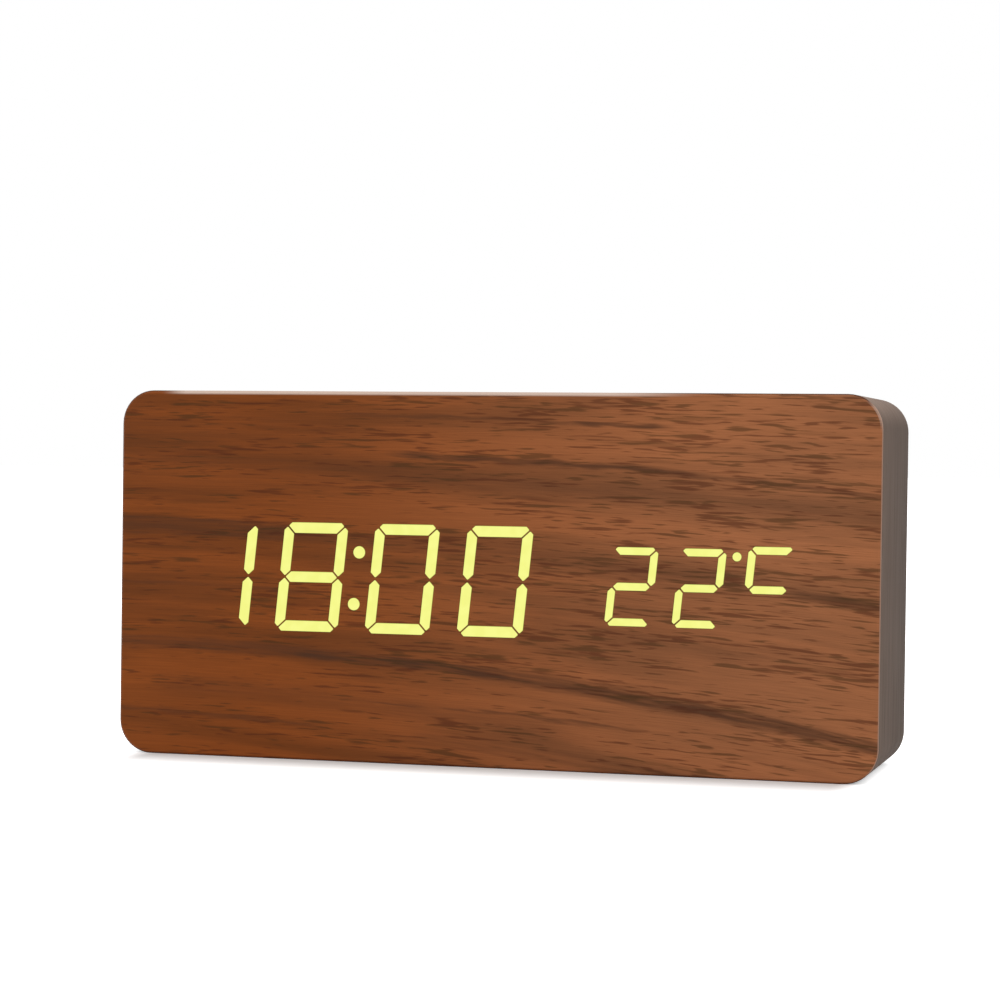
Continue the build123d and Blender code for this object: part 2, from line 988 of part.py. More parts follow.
def make_spring_contacts():
    """Folded leaf springs behind the cells' flat ends."""
    springs = []
    for height, side in cell_rows():
        wall = -side * (tray_width / 2 - contact_thickness / 2)
        cell_end = side * (tray_width / 2 - contact_thickness - cell_length)
        pad = cell_end - side * contact_thickness / 2
        half = contact_height / 2
        path = FilletPolyline(
            (wall, -half), (wall, half), (pad, -spring_pad_height / 2),
            (pad, spring_pad_height / 2), radius=spring_bend_radius,
        )
        strip = trace(path, line_width=contact_thickness)
        springs.append(extrude(contact_plane(height) * strip, amount=contact_depth))
    return group(springs)


# Buttons, switches and rear board


def make_button(place):
    """Button cap with the flange that keeps it in and the stem that presses the switch."""
    x, z = place
    cap = rod(x, z, button_radius, flange_outer, cover_outer + button_proud)
    cap = fillet(edges_at_depth(cap, cover_outer + button_proud), button_round)
    cap += rod(x, z, button_radius + button_flange_width, flange_inner, flange_outer)
    return cap + rod(x, z, button_stem_radius, stem_end, flange_inner)


def make_plunger(place):
    """Moving part of a switch, which travels with its button."""
    return rod(*place, plunger_radius, switch_top - plunger_inside, stem_end)


def make_switches():
    """Fixed bodies of the three switches, each bored for its plunger."""
    bore_floor = switch_top - plunger_inside - button_travel - plunger_gap
    return group(
        [
            plate(x, z, switch_side, switch_side, rear_board_back, switch_top)
            - rod(x, z, plunger_radius + plunger_gap, bore_floor, switch_top + overrun)
            for x, z in button_places()
        ]
    )


def make_rear_board():
    """Small board that carries the switches, inlet, microphone and sensor."""
    board = plate(
        rear_board_middle_x, mid_height, rear_board_width, rear_board_height,
        rear_board_front, rear_board_back, rear_board_corner_radius,
    )
    hole_radius = rear_screw_radius + board_hole_gap
    front, back = rear_board_front - overrun, rear_board_back + overrun
    return board - [rod(x, z, hole_radius, front, back) for x, z in rear_board_screw_places()]


def make_inlet_shell():
    """Steel shell of the power inlet, open at its mouth."""
    shell = plate(
        *inlet_place, inlet_width, inlet_height, rear_board_back, inlet_mouth,
        inlet_corner_radius,
    )
    hollow = plate(
        *inlet_place, inlet_width - 2 * inlet_wall, inlet_height - 2 * inlet_wall,
        rear_board_back - overrun, inlet_mouth + overrun, inlet_corner_radius - inlet_wall,
    )
    return shell - hollow


def make_inlet_tongue():
    """Plastic base and tongue inside the inlet's shell."""
    base_top = rear_board_back + inlet_base_height
    base = plate(
        *inlet_place, inlet_width - 2 * inlet_wall, inlet_height - 2 * inlet_wall,
        rear_board_back, base_top, inlet_corner_radius - inlet_wall,
    )
    return base + plate(
        *inlet_place, tongue_width, tongue_thickness, base_top, inlet_mouth - tongue_set_back
    )


def make_microphone():
    """Round microphone can behind the sound hole."""
    return rod(
        *microphone_place, microphone_radius, rear_board_back, rear_board_back + microphone_height
    )


def make_sensor():
    """Head of the temperature sensor, held up behind the vents."""
    x, z = sensor_place
    front = rear_board_back + sensor_leg_length
    return plate(x, z, sensor_width, sensor_thickness, front, front + sensor_height)


def make_sensor_legs():
    """Two wire legs under the temperature sensor."""
    x, z = sensor_place
    back = rear_board_back + sensor_leg_length
    return group(
        [
            rod(x + dx, z, sensor_leg_radius, rear_board_back, back)
            for dx in (-sensor_leg_spacing / 2, sensor_leg_spacing / 2)
        ]
    )


# Cables inside the case

rear_header_place = (rear_board_middle_x + rear_header_offset, mid_height)
main_header_place = (rear_header_place[0] + ribbon_shift, mid_height)
main_header_top = main_board_back + header_height
rear_header_bottom = rear_board_front - header_height


def make_main_header():
    """Cable socket on the main board."""
    x, z = main_header_place
    return plate(x, z, header_thickness, header_width, main_board_back, main_header_top)


def make_rear_header():
    """Cable socket on the front of the rear board."""
    x, z = rear_header_place
    return plate(x, z, header_thickness, header_width, rear_header_bottom, rear_board_front)


def make_ribbon_cable():
    """Flat cable that steps sideways between the two sockets."""
    x, z = main_header_place
    middle = (main_header_top + rear_header_bottom) / 2
    path = FilletPolyline(
        (x, main_header_top), (x, middle), (x - ribbon_shift, middle),
        (x - ribbon_shift, rear_header_bottom), radius=ribbon_bend_radius,
    )
    strip = trace(path, line_width=ribbon_thickness)
    return extrude(Pos(0, 0, z - ribbon_width / 2) * strip, amount=ribbon_width)


def make_lead(height):
    """Insulated wire from the front of the compartment down to the main board."""
    x = tray_middle_x - tray_outer_width / 2 + lead_inset
    top = tray_bottom - tray_floor
    straight = (top - main_board_back) / 4
    path = FilletPolyline(
        (x, top, height),
        (x, top - straight, height),
        (x - lead_shift, main_board_back + straight, height),
        (x - lead_shift, main_board_back, height),
        radius=lead_bend_radius,
    )
    start = Plane(origin=(x, top, height), x_dir=(1, 0, 0), z_dir=(0, -1, 0))
    return sweep(start * Circle(lead_radius), path=path)


# Everything is built and written

plungers = [make_plunger(place) for place in button_places()]
buttons = [make_button(place) for place in button_places()]
lead_heights = [mid_height + dz for dz in row(2, 3 * cell_pitch)]

parts = {
    "case_ring": make_case_ring(),
    "side_wrap": make_side_wrap(),
    "face_film": make_face_film(),
    "front_board": make_front_board(),
    "corner_blocks": make_corner_blocks(),
    "time_display_block": make_housing(time_block, time_segments + colon),
    "time_lit_segments": lenses(time_segments, True),
    "time_unlit_segments": lenses(time_segments, False),
    "colon_dots": lenses(colon, True),
    "temperature_display_block": make_housing(
        temperature_block, temperature_segments + degree
    ),
    "temperature_lit_segments": lenses(temperature_segments, True),
    "temperature_unlit_segments": lenses(temperature_segments, False),
    "degree_dot": lenses(degree, True),
    "light_chips": group(
        light_chips(time_segments + colon + temperature_segments + degree)
    ),
    "display_pins": make_display_pins(),
    "main_board": make_main_board(),
    "board_spacers": make_spacers(),
    "board_screws": make_board_screws(),
    "controller_chip": make_packaged_chip(
        controller_place, controller_length, controller_width, controller_height
    ),
    "controller_legs": make_legs(
        controller_place, controller_width, controller_height,
        controller_leg_count,
    ),
    "driver_chip": make_packaged_chip(
        driver_place, driver_length, driver_width, driver_height
    ),
    "driver_legs": make_legs(
        driver_place, driver_width, driver_height, driver_leg_count
    ),
    "buzzer": make_buzzer(),
    "capacitors": make_capacitors(),
    "crystal": make_crystal(),
    "resistors": make_resistors(),
    "rear_cover": make_rear_cover(),
    "cover_screws": make_cover_screws(),
    "battery_door": make_battery_door(),
    "battery_cells": make_cells(),
    "cell_caps": make_cell_caps(),
    "flat_contacts": make_flat_contacts(),
    "spring_contacts": make_spring_contacts(),
    "set_button": buttons[0],
    "up_button": buttons[1],
    "down_button": buttons[2],
    "set_plunger": plungers[0],
    "up_plunger": plungers[1],
    "down_plunger": plungers[2],
    "switch_bodies": make_switches(),
    "rear_board": make_rear_board(),
    "rear_board_screws": make_rear_board_screws(),
    "power_inlet_shell": make_inlet_shell(),
    "power_inlet_tongue": make_inlet_tongue(),
    "microphone": make_microphone(),
    "temperature_sensor": make_sensor(),
    "temperature_sensor_legs": make_sensor_legs(),
    "main_cable_socket": make_main_header(),
    "rear_cable_socket": make_rear_header(),
    "ribbon_cable": make_ribbon_cable(),
    "battery_lead_negative": make_lead(lead_heights[0]),
    "battery_lead_positive": make_lead(lead_heights[1]),
}

os.makedirs("parts", exist_ok=True)
for name, shape in parts.items():
    export_step(shape, os.path.join("parts", name + ".step"))
    print(name, len(shape.solids()), round(shape.volume, 1))
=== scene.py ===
"""Looks of the wooden desk clock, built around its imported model.

Metres, and millimetres for the sizes that the classes name. +X is to the right as the face is
read, +Y runs from the face to the back, +Z is up. Finishes come first, then the sub-assemblies
that carry them, then the light and the camera.
"""

import logging
import math
from collections.abc import Callable
from dataclasses import dataclass
from enum import Enum
from typing import ClassVar

import bmesh
import bpy
from mathutils import Matrix, Vector


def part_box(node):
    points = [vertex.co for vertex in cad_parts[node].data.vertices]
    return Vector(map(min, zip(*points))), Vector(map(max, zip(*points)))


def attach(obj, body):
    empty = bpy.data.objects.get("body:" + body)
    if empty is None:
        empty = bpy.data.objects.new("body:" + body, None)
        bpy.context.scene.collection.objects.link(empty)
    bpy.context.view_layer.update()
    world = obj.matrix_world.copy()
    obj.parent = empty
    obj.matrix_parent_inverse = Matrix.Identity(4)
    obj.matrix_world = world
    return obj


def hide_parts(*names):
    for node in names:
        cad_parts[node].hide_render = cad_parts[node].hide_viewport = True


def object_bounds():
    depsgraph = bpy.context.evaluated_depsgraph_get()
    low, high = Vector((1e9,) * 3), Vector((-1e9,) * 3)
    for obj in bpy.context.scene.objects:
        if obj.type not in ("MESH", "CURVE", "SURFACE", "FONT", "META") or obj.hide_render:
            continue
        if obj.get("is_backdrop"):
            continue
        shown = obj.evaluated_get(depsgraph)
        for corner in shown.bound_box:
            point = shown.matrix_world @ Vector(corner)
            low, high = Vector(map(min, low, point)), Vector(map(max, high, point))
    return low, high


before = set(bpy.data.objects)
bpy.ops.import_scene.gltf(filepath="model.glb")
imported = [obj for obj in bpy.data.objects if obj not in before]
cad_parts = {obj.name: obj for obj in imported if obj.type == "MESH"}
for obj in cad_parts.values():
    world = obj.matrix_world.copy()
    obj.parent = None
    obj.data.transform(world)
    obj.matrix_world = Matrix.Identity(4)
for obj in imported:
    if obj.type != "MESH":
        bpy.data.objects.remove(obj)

CAD_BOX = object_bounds()
MM = 0.001
CASE = "case"
SHARP = 32.0
WELD = 1e-7
NO_TURN = (0.0, 0.0, 0.0)
UPRIGHT = (math.pi / 2, 0.0, 0.0)

log = logging.getLogger("clock")

Colour = tuple[float, float, float, float]
Outline = list[tuple[float, float]]
Box = tuple[Vector, Vector]
Mesh = bpy.types.Mesh
Socket = bpy.types.NodeSocket
Tree = bpy.types.NodeTree


def srgb(red: int, green: int, blue: int) -> Colour:
    """Linear colour of a colour given in display values.

    Args:
        red: Red from 0 to 255.
        green: Green from 0 to 255.
        blue: Blue from 0 to 255.

    Returns:
        The linear colour with full alpha.
    """
    shares = [channel / 255 for channel in (red, green, blue)]
    linear = [s / 12.92 if s <= 0.04045 else ((s + 0.055) / 1.055) ** 2.4 for s in shares]
    return (*linear, 1.0)


# Node trees


class Value:
    """Output of a node, which takes part in sums as a number does."""

    def __init__(self, graph: "Graph", socket: Socket) -> None:
        """Keeps the output and the graph that it belongs to."""
        self.graph, self.socket = graph, socket

    def __add__(self, other: object) -> "Value":
        """Sum with another value."""
        return self.graph.math("ADD", self, other)

    def __sub__(self, other: object) -> "Value":
        """This value less another."""
        return self.graph.math("SUBTRACT", self, other)

    def __rsub__(self, other: object) -> "Value":
        """A number less this value."""
        return self.graph.math("SUBTRACT", other, self)

    def __mul__(self, other: object) -> "Value":
        """Product with another value."""
        return self.graph.math("MULTIPLY", self, other)

    def __truediv__(self, other: object) -> "Value":
        """This value over another."""
        return self.graph.math("DIVIDE", self, other)

    def __rtruediv__(self, other: object) -> "Value":
        """A number over this value."""
        return self.graph.math("DIVIDE", other, self)

    def __abs__(self) -> "Value":
        """This value without its sign."""
        return self.graph.math("ABSOLUTE", self)

    def smooth(
        self, low: object, high: object, start: float = 0.0, end: float = 1.0
    ) -> "Value":
        """Maps this value with a smooth step.

        Args:
            low: Value that gives start.
            high: Value that gives end.
            start: Result at low.
            end: Result at high.

        Returns:
            The mapped value.
        """
        return self.graph.add(
            "ShaderNodeMapRange", {"interpolation_type": "SMOOTHSTEP"}, self,
            From_Min=low, From_Max=high, To_Min=start, To_Max=end,
        )[0]


class Outputs:
    """Outputs of one node, by name or number."""

    def __init__(self, graph: "Graph", node: bpy.types.Node) -> None:
        """Keeps the node and the graph that it belongs to."""
        self.graph, self.node = graph, node

    def __getitem__(self, key: str | int) -> Value:
        """One output."""
        return Value(self.graph, self.node.outputs[key])


class Graph:
    """Short calls that build one node tree."""

    def __init__(self, tree: Tree, prefix: str = "ShaderNode") -> None:
        """Keeps the tree, and how the names of its own kinds of node begin."""
        self.tree, self.prefix = tree, prefix

    def put(self, socket: Socket, value: object) -> None:
        """Feeds a socket.

        Args:
            socket: The input to feed.
            value: An output, a list of outputs or a plain value; None leaves it as it is.
        """
        for part in value if isinstance(value, list) else [value]:
            if isinstance(part, Value):
                self.tree.links.new(part.socket, socket)
            elif part is not None:
                socket.default_value = part

    def add(
        self, kind: str, settings: dict | None = None, *values: object, **inputs: object
    ) -> Outputs:
        """Adds a node and feeds its inputs.

        Args:
            kind: Blender's type name of the node; the tree's own prefix may be left out.
            settings: Properties to set on it.
            *values: Its first inputs, in order.
            **inputs: Further inputs, with underscores for the spaces in their names.

        Returns:
            The node's outputs.
        """
        node = self.tree.nodes.new(kind if "Node" in kind else self.prefix + kind)
        for name, value in (settings or {}).items():
            setattr(node, name, value)
        for socket, value in zip(node.inputs, values):
            self.put(socket, value)
        for name, value in inputs.items():
            self.put(node.inputs[name.replace("_", " ")], value)
        return Outputs(self, node)

    def math(self, operation: str, first: object, second: object = None) -> Value:
        """Adds a Math node.

        Args:
            operation: Name of the operation.
            first: First operand.
            second: Second operand, where there is one.

        Returns:
            The result.
        """
        return self.add("ShaderNodeMath", {"operation": operation}, first, second)[0]

    def most(self, values: list[Value]) -> Value:
        """Largest of several values.

        Args:
            values: The values.

        Returns:
            The largest.
        """
        largest = values[0]
        for value in values[1:]:
            largest = self.math("MAXIMUM", largest, value)
        return largest

    def mix(self, factor: object, first: object, second: object, mode: str = "MIX") -> Value:
        """Adds a colour Mix node.

        Args:
            factor: Share of the second colour.
            first: First colour.
            second: Second colour.
            mode: Blend mode.

        Returns:
            The mixed colour.
        """
        made = self.add("ShaderNodeMix", {"data_type": "RGBA", "blend_type": mode}, factor)
        colours = [socket for socket in made.node.inputs if socket.type == "RGBA"]
        self.put(colours[0], first)
        self.put(colours[1], second)
        return Value(self, next(out for out in made.node.outputs if out.type == "RGBA"))

    def noise(
        self, vector: Value, scale: object = 1.0, detail: float = 2.0, roughness: float = 0.5
    ) -> Value:
        """Adds a Noise texture.

        Args:
            vector: Coordinates.
            scale: Scale of the noise.
            detail: Number of octaves.
            roughness: Strength of the finer octaves.

        Returns:
            The noise value about a half.
        """
        return self.add(
            "ShaderNodeTexNoise", Vector=vector, Scale=scale, Detail=detail, Roughness=roughness
        )[0]

    def vector(self, x: object, y: object, z: object = 0.0) -> Value:
        """Joins three values."""
        return self.add("ShaderNodeCombineXYZ", None, x, y, z)[0]

    def axes(self, vector: Value) -> tuple[Value, Value, Value]:
        """Splits a vector into its three values."""
        parts = self.add("ShaderNodeSeparateXYZ", None, vector)
        return parts[0], parts[1], parts[2]

    def use(self, effect: str, **inputs: object) -> Outputs:
        """Places a shared effect; its inputs have underscores for spaces."""
        return self.add("ShaderNodeGroup", {"node_tree": Effects.get(effect)}, **inputs)


class Group(Graph):
    """A node group with named inputs and outputs."""

    KINDS: ClassVar[dict[type, str]] = {float: "Float", int: "Int", tuple: "Vector"}

    def __init__(
        self, name: str, outputs: tuple, prefix: str = "ShaderNode", **inputs: object
    ) -> None:
        """Starts the group.

        Args:
            name: Name of the tree.
            outputs: Names of its outputs.
            prefix: How the names of its own kinds of node begin.
            **inputs: Start value of each input, or the kind of its socket where it has none.
        """
        super().__init__(bpy.data.node_groups.new(name, prefix + "Tree"), prefix)
        for label, start in inputs.items():
            kind = start if isinstance(start, str) else self.KINDS[type(start)]
            socket = self.tree.interface.new_socket(
                label.replace("_", " "), in_out="INPUT", socket_type="NodeSocket" + kind
            )
            if not isinstance(start, str):
                socket.default_value = start
        kind = "Geometry" if prefix == "GeometryNode" else "Float"
        for label in outputs:
            self.tree.interface.new_socket(
                label, in_out="OUTPUT", socket_type="NodeSocket" + kind
            )
        self.given = self.add("NodeGroupInput")
        self.result = self.add("NodeGroupOutput").node

    def __getitem__(self, name: str) -> Value:
        """One of the group's inputs."""
        return self.given[name]

    def finish(self, **results: Value) -> Tree:
        """Feeds the outputs.

        Args:
            **results: What each output gives.

        Returns:
            The finished tree.
        """
        for name, value in results.items():
            self.put(self.result.inputs[name], value)
        return self.tree


class Library:
    """Node trees, each built once when it is first asked for."""

    made: ClassVar[dict[str, Tree]] = {}

    @classmethod
    def get(cls, name: str) -> Tree:
        """Gives a tree.

        Args:
            name: Name of the method that builds it.

        Returns:
            The tree.
        """
        if name not in cls.made:
            cls.made[name] = getattr(cls, name)()
        return cls.made[name]


# Effects that several finishes share


class Effects(Library):
    """Shader groups that give masks and heights."""

    @staticmethod
    def grain_flow() -> Tree:
        """Millimetres along and across the grain of a face whose grain bows downwards.

        Returns:
            The group's tree.
        """
        g = Group(
            "grain_flow", ("Along", "Across"), Vector="Vector", Left=0.0, Top=0.0, Bow=0.03,
            Spread=0.0025, Reach=225.0, Wobble=0.5,
        )
        x, _, z = g.axes(g["Vector"])
        along = (x - g["Left"]) * (1 / MM)
        down = (g["Top"] - z) * (1 / MM)
        sag = along * along / g["Reach"]
        across = (down - sag * g["Bow"]) / (sag * g["Spread"] + 1.0)
        wave = g.noise(g.vector(along * (1 / 24), across * (1 / 7)), detail=1.0) - 0.5
        return g.finish(Along=along, Across=wave * (g["Wobble"] * 2.0) + across)

    @staticmethod
    def streaks() -> Tree:
        """Short dark pores that taper at both ends.

        Returns:
            The group's tree.
        """
        g = Group(
            "streaks", ("Mask",), Along=0.0, Across=0.0, Length=8.0, Thickness=0.5, Cover=0.4,
            Softness=0.08, Offset=0.0,
        )
        place = g.vector(g["Along"] / g["Length"], g["Across"] / g["Thickness"], g["Offset"])
        level = 0.8 - g["Cover"] * 0.5
        value = g.noise(place, detail=1.0, roughness=0.35)
        return g.finish(Mask=value.smooth(level, level + g["Softness"]))

    @staticmethod
    def band() -> Tree:
        """One soft band that follows the grain between two places along it.

        Returns:
            The group's tree.
        """
        g = Group(
            "grain_band", ("Mask",), Along=0.0, Across=0.0, Level=0.0, Rise=0.0, Start=0.0,
            End=0.0, Fade=12.0, Half_Width=1.0, Edge=0.6,
        )
        along, start, end, fade = (g[name] for name in ("Along", "Start", "End", "Fade"))
        half, edge = g["Half Width"], g["Edge"]
        level = (along - start) / (end - start) * g["Rise"] + g["Level"]
        body = abs(g["Across"] - level).smooth(half - edge, half + edge, 1.0, 0.0)
        first = along.smooth(start - fade, start)
        last = along.smooth(end, end + fade, 1.0, 0.0)
        return g.finish(Mask=body * (first * last))

    @staticmethod
    def moulded_skin() -> Tree:
        """Fine spark-eroded texture of a moulded plastic surface.

        Returns:
            The group's tree.
        """
        g = Group(
            "moulded_skin", ("Height", "Patches"), Vector="Vector", Grain=0.35, Drift=12.0
        )
        fine = g.noise(g["Vector"], 1.0 / (g["Grain"] * MM), 3.0, 0.6)
        return g.finish(Height=fine, Patches=g.noise(g["Vector"], 1.0 / (g["Drift"] * MM)))

    @staticmethod
    def handling_marks() -> Tree:
        """Fine scratches and dull patches of plated metal.

        Returns:
            The group's tree.
        """
        g = Group(
            "handling_marks", ("Scratches", "Dullness"), Vector="Vector",
            Stretch=(1.0, 1.0, 8.0), Fineness=900.0,
        )
        pulled = g.add("VectorMath", {"operation": "MULTIPLY"}, g["Vector"], g["Stretch"])[0]
        scratches = g.noise(pulled, g["Fineness"], 3.0, 0.6)
        return g.finish(Scratches=scratches, Dullness=g.noise(g["Vector"], 260.0))


# Finishes


def cleared(owner: bpy.types.Material | bpy.types.World) -> Tree:
    """Empties the node tree of a material or a world.

    Args:
        owner: The material or the world.

    Returns:
        Its empty tree.
    """
    owner.use_nodes = True
    owner.node_tree.nodes.clear()
    return owner.node_tree


class Surface(Graph):
    """Nodes of one material, with its shader and the object's coordinates."""

    def __init__(self, material: bpy.types.Material) -> None:
        """Starts the material with a Principled BSDF."""
        super().__init__(cleared(material))
        self.shader = self.add("BsdfPrincipled")
        self.add("OutputMaterial", None, self.shader[0])
        self.place = self.add("TexCoord")["Object"]

    def feed(self, **inputs: object) -> None:
        """Feeds the shader's inputs, with underscores for the spaces in their names."""
        for name, value in inputs.items():
            self.put(self.shader.node.inputs[name.replace("_", " ")], value)

    def bump(self, height: Value, strength: float, depth: float) -> None:
        """Adds a Bump node to the shader's normal.

        Args:
            height: Height from 0 to 1.
            strength: Strength of the bump.
            depth: Depth in metres that the height stands for.
        """
        bump = self.add("Bump", Strength=strength, Distance=depth, Height=height)
        self.feed(Normal=bump[0])

    def shaded(self, colour: object, shade: Value) -> Value:
        """Multiplies a colour by one value."""
        return self.mix(1.0, colour, self.vector(shade, shade, shade), "MULTIPLY")

    def attribute(self, name: str) -> Value:
        """Reads a number that the mesh carries."""
        return self.add("Attribute", {"attribute_name": name})["Fac"]


@dataclass(frozen=True)
class Finish:
    """Base of the finishes: one material for one of the record's slots, made when first used."""

    name: str
    slot: str
    made: ClassVar[dict[str, bpy.types.Material]] = {}

    def material(self) -> bpy.types.Material:
        """Gives the material, building it once.

        Returns:
            The material.
        """
        if self.name not in self.made:
            self.made[self.name] = bpy.data.materials.new(self.name)
            self.paint(Surface(self.made[self.name]))
        return self.made[self.name]

    def paint(self, s: Surface) -> None:
        """Feeds the shader.

        Args:
            s: The material's surface.
        """
        raise NotImplementedError


@dataclass(frozen=True)
class Band:
    """A darker or calmer band of the face's wood, in millimetres from its top left corner."""

    level: float
    rise: float
    start: float
    end: float
    half_width: float
    edge: float
    strength: float
    fade: float = 10.0


@dataclass(frozen=True)
class WalnutFilm(Finish):
    """Satin walnut film of the face with dark bands and short pores, a painted sheen that grows
    towards the right, and painted light on its cut edge.
    """

    left_light: Colour = srgb(138, 71, 26)
    left_dark: Colour = srgb(93, 49, 17)
    right_light: Colour = srgb(166, 104, 66)
    right_dark: Colour = srgb(122, 78, 50)
    red_pore: Colour = srgb(74, 34, 16)
    olive_pore: Colour = srgb(66, 44, 20)
    vein: Colour = srgb(70, 43, 27)
    top_edge: Colour = srgb(210, 184, 168)
    right_edge: Colour = srgb(160, 124, 104)
    shaded_edge: Colour = srgb(84, 48, 28)
    fraying: float = 1.3
    veins: tuple[Band, ...] = (
        Band(11.0, 2.0, 0, 38, 9.0, 6.0, 0.24, 26), Band(35.0, 1.0, 0, 16, 9.0, 6.0, 0.14, 16),
        Band(4.0, 0.2, 50, 94, 0.3, 0.3, 0.45), Band(4.2, 0.1, 94, 107, 0.42, 0.3, 0.8, 5),
        Band(11.2, 0.3, 62, 112, 0.52, 0.42, 0.78), Band(11.8, 0.9, 112, 150, 0.3, 0.35, 0.62),
        Band(12.8, 2.0, 0, 64, 2.0, 1.5, 0.34), Band(15.2, 0.6, 60, 150, 1.7, 1.5, 0.34),
        Band(26.4, 0.3, 0, 34, 1.8, 0.5, 0.56), Band(24.9, 0.5, 0, 30, 0.25, 0.2, 0.7),
        Band(27.4, 0.8, 34, 84, 0.9, 0.9, 0.42), Band(28.3, 0.4, 84, 122, 1.6, 1.2, 0.42),
        Band(28.7, 0.2, 136, 152, 0.8, 0.6, 0.72, 6), Band(37.4, 0.6, 0, 34, 0.5, 0.5, 0.44),
        Band(38.6, 0.0, 88, 152, 1.9, 1.6, 0.28), Band(49.4, 0.2, 0, 40, 1.2, 0.7, 0.62),
        Band(49.7, -0.1, 40, 78, 1.0, 0.7, 0.9), Band(49.5, 0.1, 78, 108, 1.2, 0.8, 0.76),
        Band(49.5, 0.0, 104, 152, 1.0, 0.7, 0.82), Band(57.8, 0.2, 14, 84, 1.9, 1.6, 0.3),
        Band(57.6, -2.2, 56, 98, 0.3, 0.3, 0.6), Band(62.6, 0.8, 0, 36, 0.4, 0.4, 0.5),
        Band(63.0, -1.4, 66, 116, 1.3, 1.0, 0.36),
    )
    calm: tuple[Band, ...] = (
        Band(22.2, 0.2, 40, 74, 1.9, 1.2, 0.85), Band(17.4, 0.4, 2, 26, 1.2, 0.9, 0.6),
        Band(53.0, 0.3, 6, 34, 1.9, 1.3, 0.8), Band(44.6, 0.0, 118, 152, 3.0, 1.8, 0.5),
        Band(52.8, 0.2, 72, 96, 1.5, 1.0, 0.5), Band(55.0, 0.5, 60, 130, 3.2, 2.2, 0.6),
        Band(60.5, 0.0, 4, 60, 2.6, 2.0, 0.6),
    )
    pore_layers: tuple = (
        (9.0, 0.68, 0.43, 0.15, 1.0, 0.62), (5.0, 0.42, 0.45, 0.14, 17.0, 0.58),
        (26.0, 1.5, 0.32, 0.2, 29.0, 0.34),
    )

    def paint(self, s: Surface) -> None:
        """Feeds the shader; see Finish.paint."""
        low, high = CAD_BOX
        origin = {"Vector": s.place, "Left": low.x, "Top": high.z}
        flow = s.use("grain_flow", **origin)
        along, across = flow["Along"], flow["Across"]
        level = s.use("grain_flow", **origin, Bow=0.02, Spread=0.0009, Wobble=0.3)["Across"]
        calm = self.gathered(s, self.calm, along, across)
        veins = self.gathered(s, self.veins, along, across)

        broad = self.drawn_out(s, along, across, 70, 6.0, 3.0, 1.5)
        narrow = self.drawn_out(s, along, across, 34, 1.5, 8.0)
        tone = (narrow * 0.28 + broad * 0.72).smooth(0.37, 0.63) * (1.0 - calm)
        # Painted sheen: towards the right the light and dark wood colours grow lighter and bluer,
        # as under a light on the right.
        rightwards = along.smooth(25.0, 140.0)
        light = s.mix(rightwards, self.left_light, self.right_light)
        dark = s.mix(rightwards, self.left_dark, self.right_dark)
        wood = s.mix(tone * 0.64, light, dark)
        fibre = self.drawn_out(s, along, level, 13, 0.16, 9.0).smooth(0.3, 0.7, 0.9, 1.08)
        wood = s.mix(veins, s.shaded(wood, fibre), self.vein)

        crowd = self.drawn_out(s, along, level, 26, 3.2, 5.0, 1.0)
        crowd = rightwards * 0.08 + crowd.smooth(0.36, 0.64, -0.17, 0.11) - calm * 0.3
        pores = s.most([
            s.use(
                "streaks", Along=along, Across=level, Length=length, Thickness=thickness,
                Cover=crowd + cover, Softness=softness, Offset=offset,
            )["Mask"] * strength
            for length, thickness, cover, softness, offset, strength in self.pore_layers
        ])
        hue = self.drawn_out(s, along, level, 18, 1.4, 23.0, 0.0).smooth(0.42, 0.58)
        wood = s.mix(pores, wood, s.mix(hue, self.red_pore, self.olive_pore))
        s.feed(
            Base_Color=self.with_edge(s, wood), Roughness=pores.smooth(0.0, 1.0, 0.52, 0.64),
            Specular_IOR_Level=0.1,
        )
        s.bump(fibre * 0.25 - pores, 0.3, 0.00004)

    @staticmethod
    def drawn_out(
        s: Surface, along: Value, across: Value, length: float, thickness: float,
        offset: float, detail: float = 2.0,
    ) -> Value:
        """Noise drawn out along the grain.

        Args:
            s: The material's surface.
            along: Millimetres along the grain.
            across: Millimetres across the grain.
            length: Length of the pattern's features in millimetres.
            thickness: Their thickness in millimetres.
            offset: Place in the noise, which tells layers apart.
            detail: Number of octaves.

        Returns:
            The noise value.
        """
        return s.noise(s.vector(along / length, across / thickness, offset), detail=detail)

    def gathered(
        self, s: Surface, bands: tuple[Band, ...], along: Value, across: Value
    ) -> Value:
        """Joins several bands and frays them.

        Args:
            s: The material's surface.
            bands: The bands.
            along: Millimetres along the grain.
            across: Millimetres across the grain.

        Returns:
            The joined mask.
        """
        ragged = self.drawn_out(s, along, across, 14, 0.7, 31.0).smooth(0.25, 0.62, 0.45, 1.0)
        frayed = self.drawn_out(s, along, across, 7, 0.8, 47.0, 1.0) - 0.5
        across = frayed * self.fraying + across
        masks = [
            s.use(
                "band", Along=along, Across=across, Level=band.level, Rise=band.rise,
                Start=band.start, End=band.end, Fade=band.fade, Half_Width=band.half_width,
                Edge=band.edge,
            )["Mask"] * band.strength
            for band in bands
        ]
        return s.most(masks) * ragged

